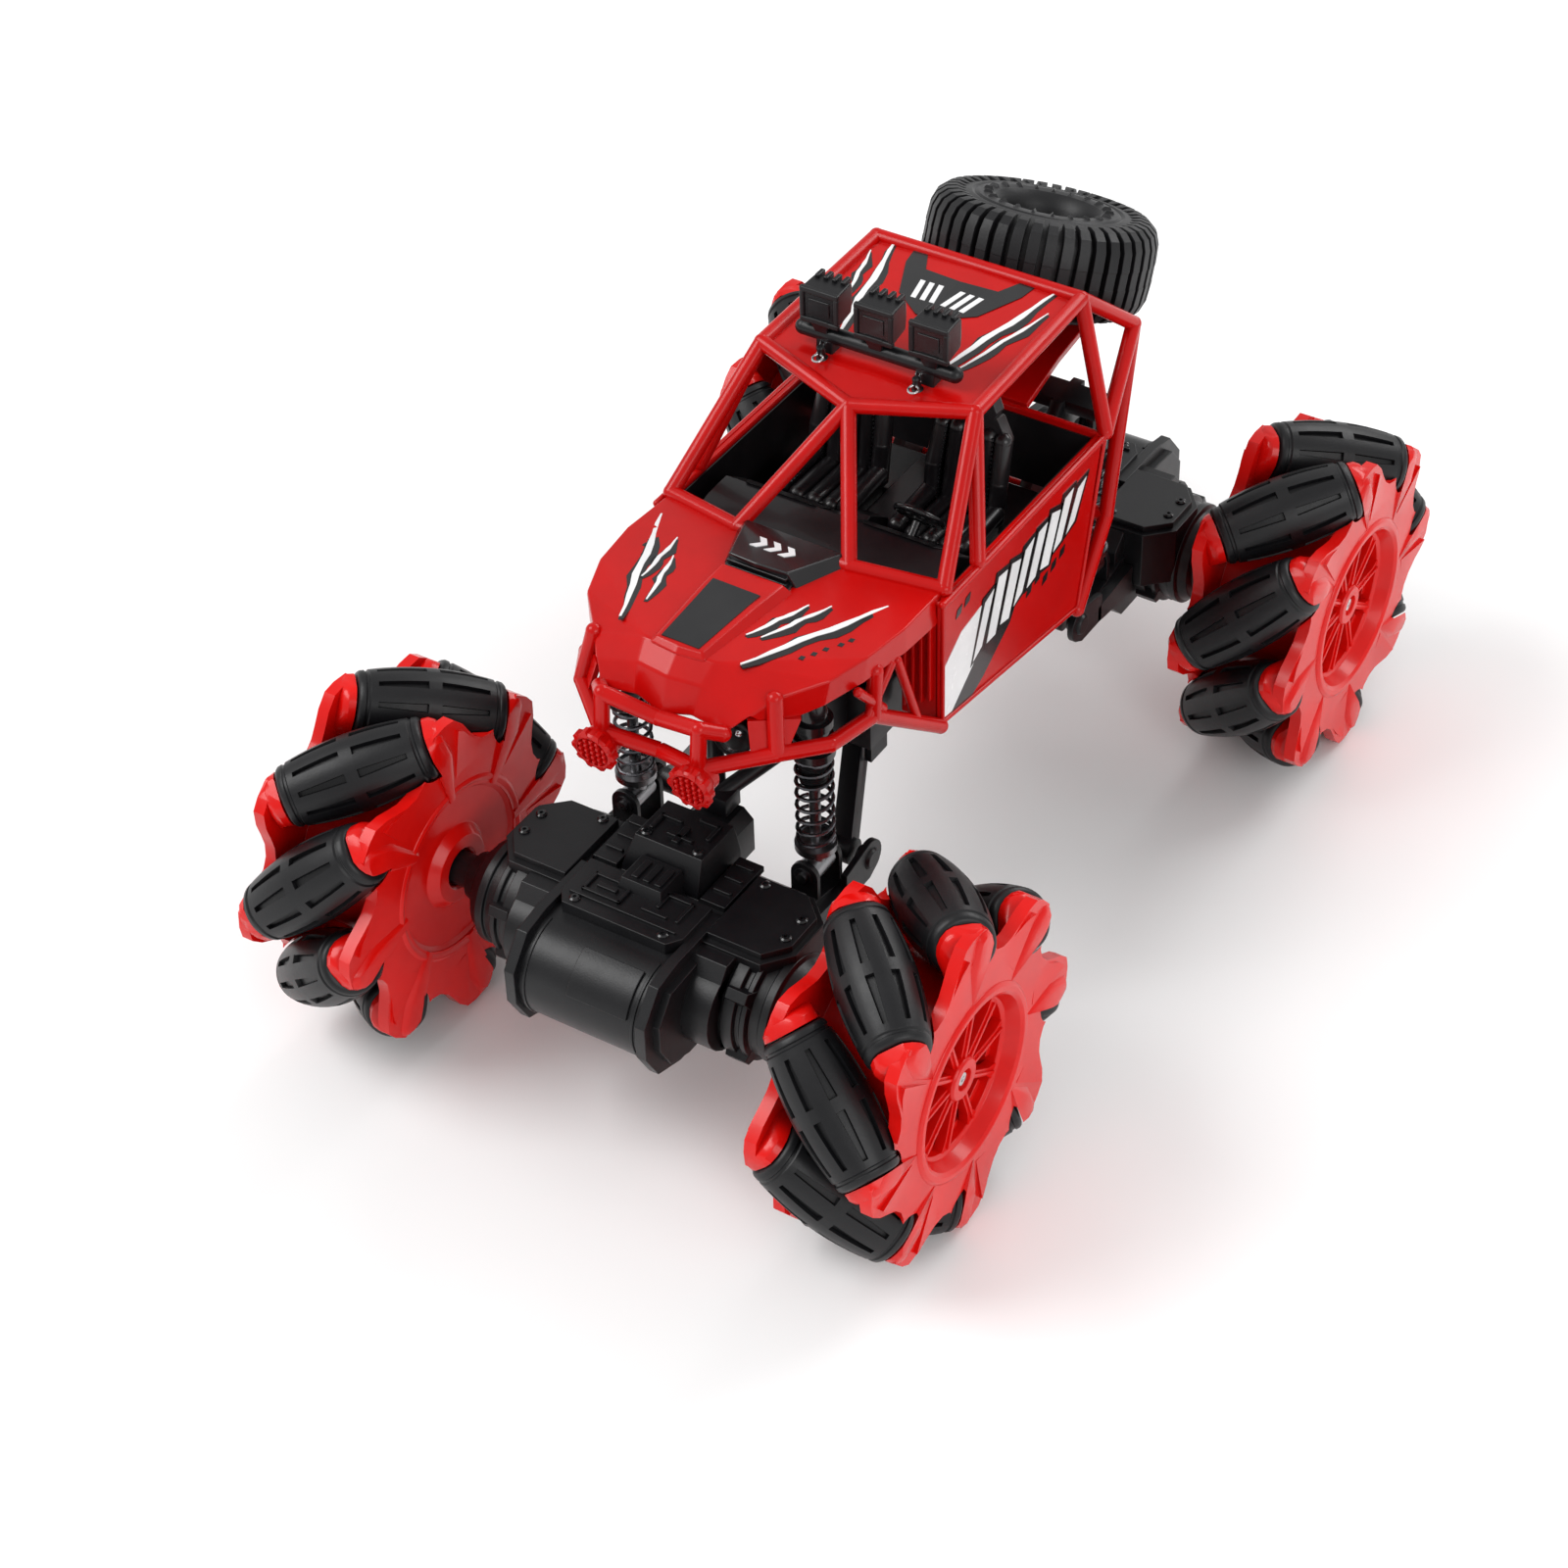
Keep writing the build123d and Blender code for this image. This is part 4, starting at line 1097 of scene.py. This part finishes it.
def flanks(bm, turn):
    """What repeats on the left and the right: a lidded box, the gear case, a shock's fork and a link's bracket."""
    across, facing = turn @ ALONG_X, turn @ ALONG_MINUS_Y
    for side in SIDES:
        # box with a six-cornered lid
        box = [(17.5, 76.5), (32, 76.5), (38.2, 82.5), (38.2, 94), (33, 100.5), (17.5, 100.5)]
        lid = [(18.6, 78), (31.4, 78), (36.8, 83.2), (36.8, 93.4), (32.4, 99.0), (18.6, 99.0)]
        for outline, low, high in ((box, 42, 57.6), (lid, 57.4, 59.2)):
            prism(bm, [(side * x, y) for x, y in outline], low, high, turn)
        # waist between the nose and the gear case, and the stepped, ringed case itself
        prism(bm, arc((102, 44), 10.8, 0, 345, 23), *sorted((side * 19, side * 27)), across)
        place = turn @ aimed((side, 0, 0), (0, 95, 42.69))
        lathe(bm, [(22, 0), (22, 12.4), (25.6, 12.4), (26.0, 13.2), (27.4, 13.2), (27.8, 14.2), (30.6, 14.2),
                   (31.0, 13.1), (32.0, 13.1), (32.4, 13.9), (33.6, 13.9), (34.0, 12.5), (36.2, 12.3), (36.5, 13.0),
                   (38.4, 13.0), (38.8, 12.0), (41.0, 11.0), (41.3, 9.0), (43.0, 8.4), (43.2, 6.3), (46.6, 5.7),
                   (46.8, 4.0), (56.8, 4.0), (56.8, 0)], 64, place)
        for angle in (25, 75, 140, 215, 265, 325):
            taper(bm, turned(place, radians(angle)), (12, 2.4, 27.6, 34.2), (15.2, 1.2, 28.2, 33.4))
        # fork for the shock's lower eye
        fork, eye = side * shock_x, (side * shock_x, shock_eye_z)
        ear = [(fork - 3.5, 43.5), (fork + 3.5, 43.5), *arc(eye, 3.5, 0, 180, 12)]
        for y in (57.7, 66.9):
            prism(bm, ear, -y - 1.4, -y, facing)
            prism(bm, arc(eye, 2.3, 0, 345, 23), -y - 1.8, -y + 0.4, facing)
        hull(bm, drawn(turn, corners((fork - 3.6, fork + 3.6), ((57.7, 43), (57.7, 46.6), (76, 38), (76, 50)))))
        # bracket beside the long link, ribbed along its foot
        hull(bm, drawn(turn, corners(sorted((side * 27, side * 30)), ((58, 42.2), (58, 46.6), (76, 40), (76, 48)))))
        prism(bm, [(60, 42), (60, 50), *arc((49.5, 47.5), 4.6, 70, 250, 12), (50, 42)],
              *sorted((side * 28.4, side * 30)), across)
        boss = turn @ aimed((-side, 0, 0), (side * 28.6, 49.5, 47.5))
        lathe(bm, [(-2.2, 0), (-2.2, 2.2), (-1.4, 2.7), (0, 2.7), (1.8, 2.3), (1.8, 0)], 24, boss)


def axle_case(axle, turn):
    """The gearbox between a pair of wheels."""
    bm = gearbox(turn)
    nose_drum(bm, turn @ ALONG_X)
    cover(bm, turn)
    deck(bm, turn)
    flanks(bm, turn)
    # ribs along the belly
    raised(bm, [(x - 0.7, 78, x + 0.7, 102) for x in (-18, -9, 0, 9, 18)], 30.4, 31.4, turn)
    piece(f"{axle}_axle_case", bm, "black_plastic", f"{axle}_axle", [f"{axle}_axle_housing"], bevel=0.32)


def axle_fasteners(axle, turn):
    """The screws on the case and the pins through the shocks' forks."""
    bm = bmesh.new()
    screws = [(x, y, 59.2) for x in (-34.4, 34.4) for y in (85.5, 92)] + [(x, 80, 59.2) for x in (-21.5, 21.5)]
    screws += [(x, 105.3, 60.0) for x in (-11.5, 11.5)] + [(x, 83.8, 65.0) for x in (-6.8, 6.8)]
    for spot in screws:
        place = turn @ Matrix.Translation(spot)
        lathe(bm, [(-0.5, 0), (-0.5, 1.3), (0.35, 1.3), (0.65, 0.9), (0.65, 0.45), (0.2, 0.4), (0.2, 0)], 16, place)
    piece(f"{axle}_axle_screws", bm, "shock_black", f"{axle}_axle")
    bm = bmesh.new()
    for side in SIDES:
        for y in (57.2, 68.8):
            place = turn @ ALONG_MINUS_Y @ Matrix.Translation((side * shock_x, shock_eye_z, -y))
            lathe(bm, [(-0.7, 0), (-0.7, 1.3), (0.7, 1.3), (0.7, 0)], 16, place)
    piece(f"{axle}_fork_pins", bm, "shock_steel", f"{axle}_axle")


def finish_cad(name, width):
    """Rounds the edges of a CAD node that stays in sight."""
    weld = nodes[name].modifiers.new("weld", "WELD")
    weld.merge_threshold = 0.01 * MM
    round_edges(nodes[name], width)
    for face in nodes[name].data.polygons:
        face.use_smooth = True


for axle, turn in (("rear", Matrix()), ("front", Matrix.Rotation(pi, 4, "Z"))):
    axle_case(axle, turn)
    axle_fasteners(axle, turn)
for end in ("front", "rear"):
    for part in ("links", "upper_arm", "yoke"):
        finish_cad(f"{end}_{part}", 0.3)
finish_cad("chassis_tub", 0.3)


# ---- camera, floor and light --------------------------------------------------------
azimuth, elevation, roll = radians(33.42), radians(40.58), radians(-1.9)  # azimuth: from the nose to the left
camera_distance = 0.812
camera_target = Vector((-0.0038, -0.0329, 0.0426))
back = Vector((sin(azimuth) * cos(elevation), -cos(azimuth) * cos(elevation), sin(elevation)))
level = Vector((cos(azimuth), sin(azimuth), 0))
right = cos(roll) * level + sin(roll) * back.cross(level)
up = back.cross(right)
camera_data = bpy.data.cameras.new("camera")
camera_data.lens = 80.0
camera = linked("camera", camera_data)
camera.matrix_world = Matrix.Translation(camera_target + back * camera_distance) @ Matrix(
    (right, up, back)).transposed().to_4x4()
scene.camera = camera
scene.view_settings.view_transform = "Standard"

floor_data = bpy.data.meshes.new("floor")
reach = 3.0
floor_data.from_pydata([(-reach, -reach, 0), (reach, -reach, 0), (reach, reach, 0), (-reach, reach, 0)],
                       [], [(0, 1, 2, 3)])
floor = linked("floor", floor_data)
floor_data.materials.append(moulded("floor_paper", (0.92, 0.92, 0.92), (0.89, 0.89, 0.89), (0.6, 0.8),
                                    blotch=3, grain=300))


def softbox(name, spot, size, power):
    data = bpy.data.lights.new(name, "AREA")
    data.shape = "RECTANGLE"
    data.size, data.size_y = size
    data.energy = power
    lamp = linked(name, data)
    lamp.location = spot
    lamp.rotation_euler = (-Vector(spot)).to_track_quat("-Z", "Y").to_euler()


softbox("key", (-0.9, -0.7, 1.3), (0.9, 0.9), 17)
softbox("fill", (1.3, -0.6, 0.8), (1.0, 0.8), 8)
softbox("rim", (0.3, 1.2, 1.0), (1.2, 0.5), 10)
scene.world = bpy.data.worlds.new("studio")
scene.world.use_nodes = True
sky = scene.world.node_tree.nodes["Background"]
sky.inputs["Color"].default_value = (1, 1, 1, 1)
sky.inputs["Strength"].default_value = 0.6
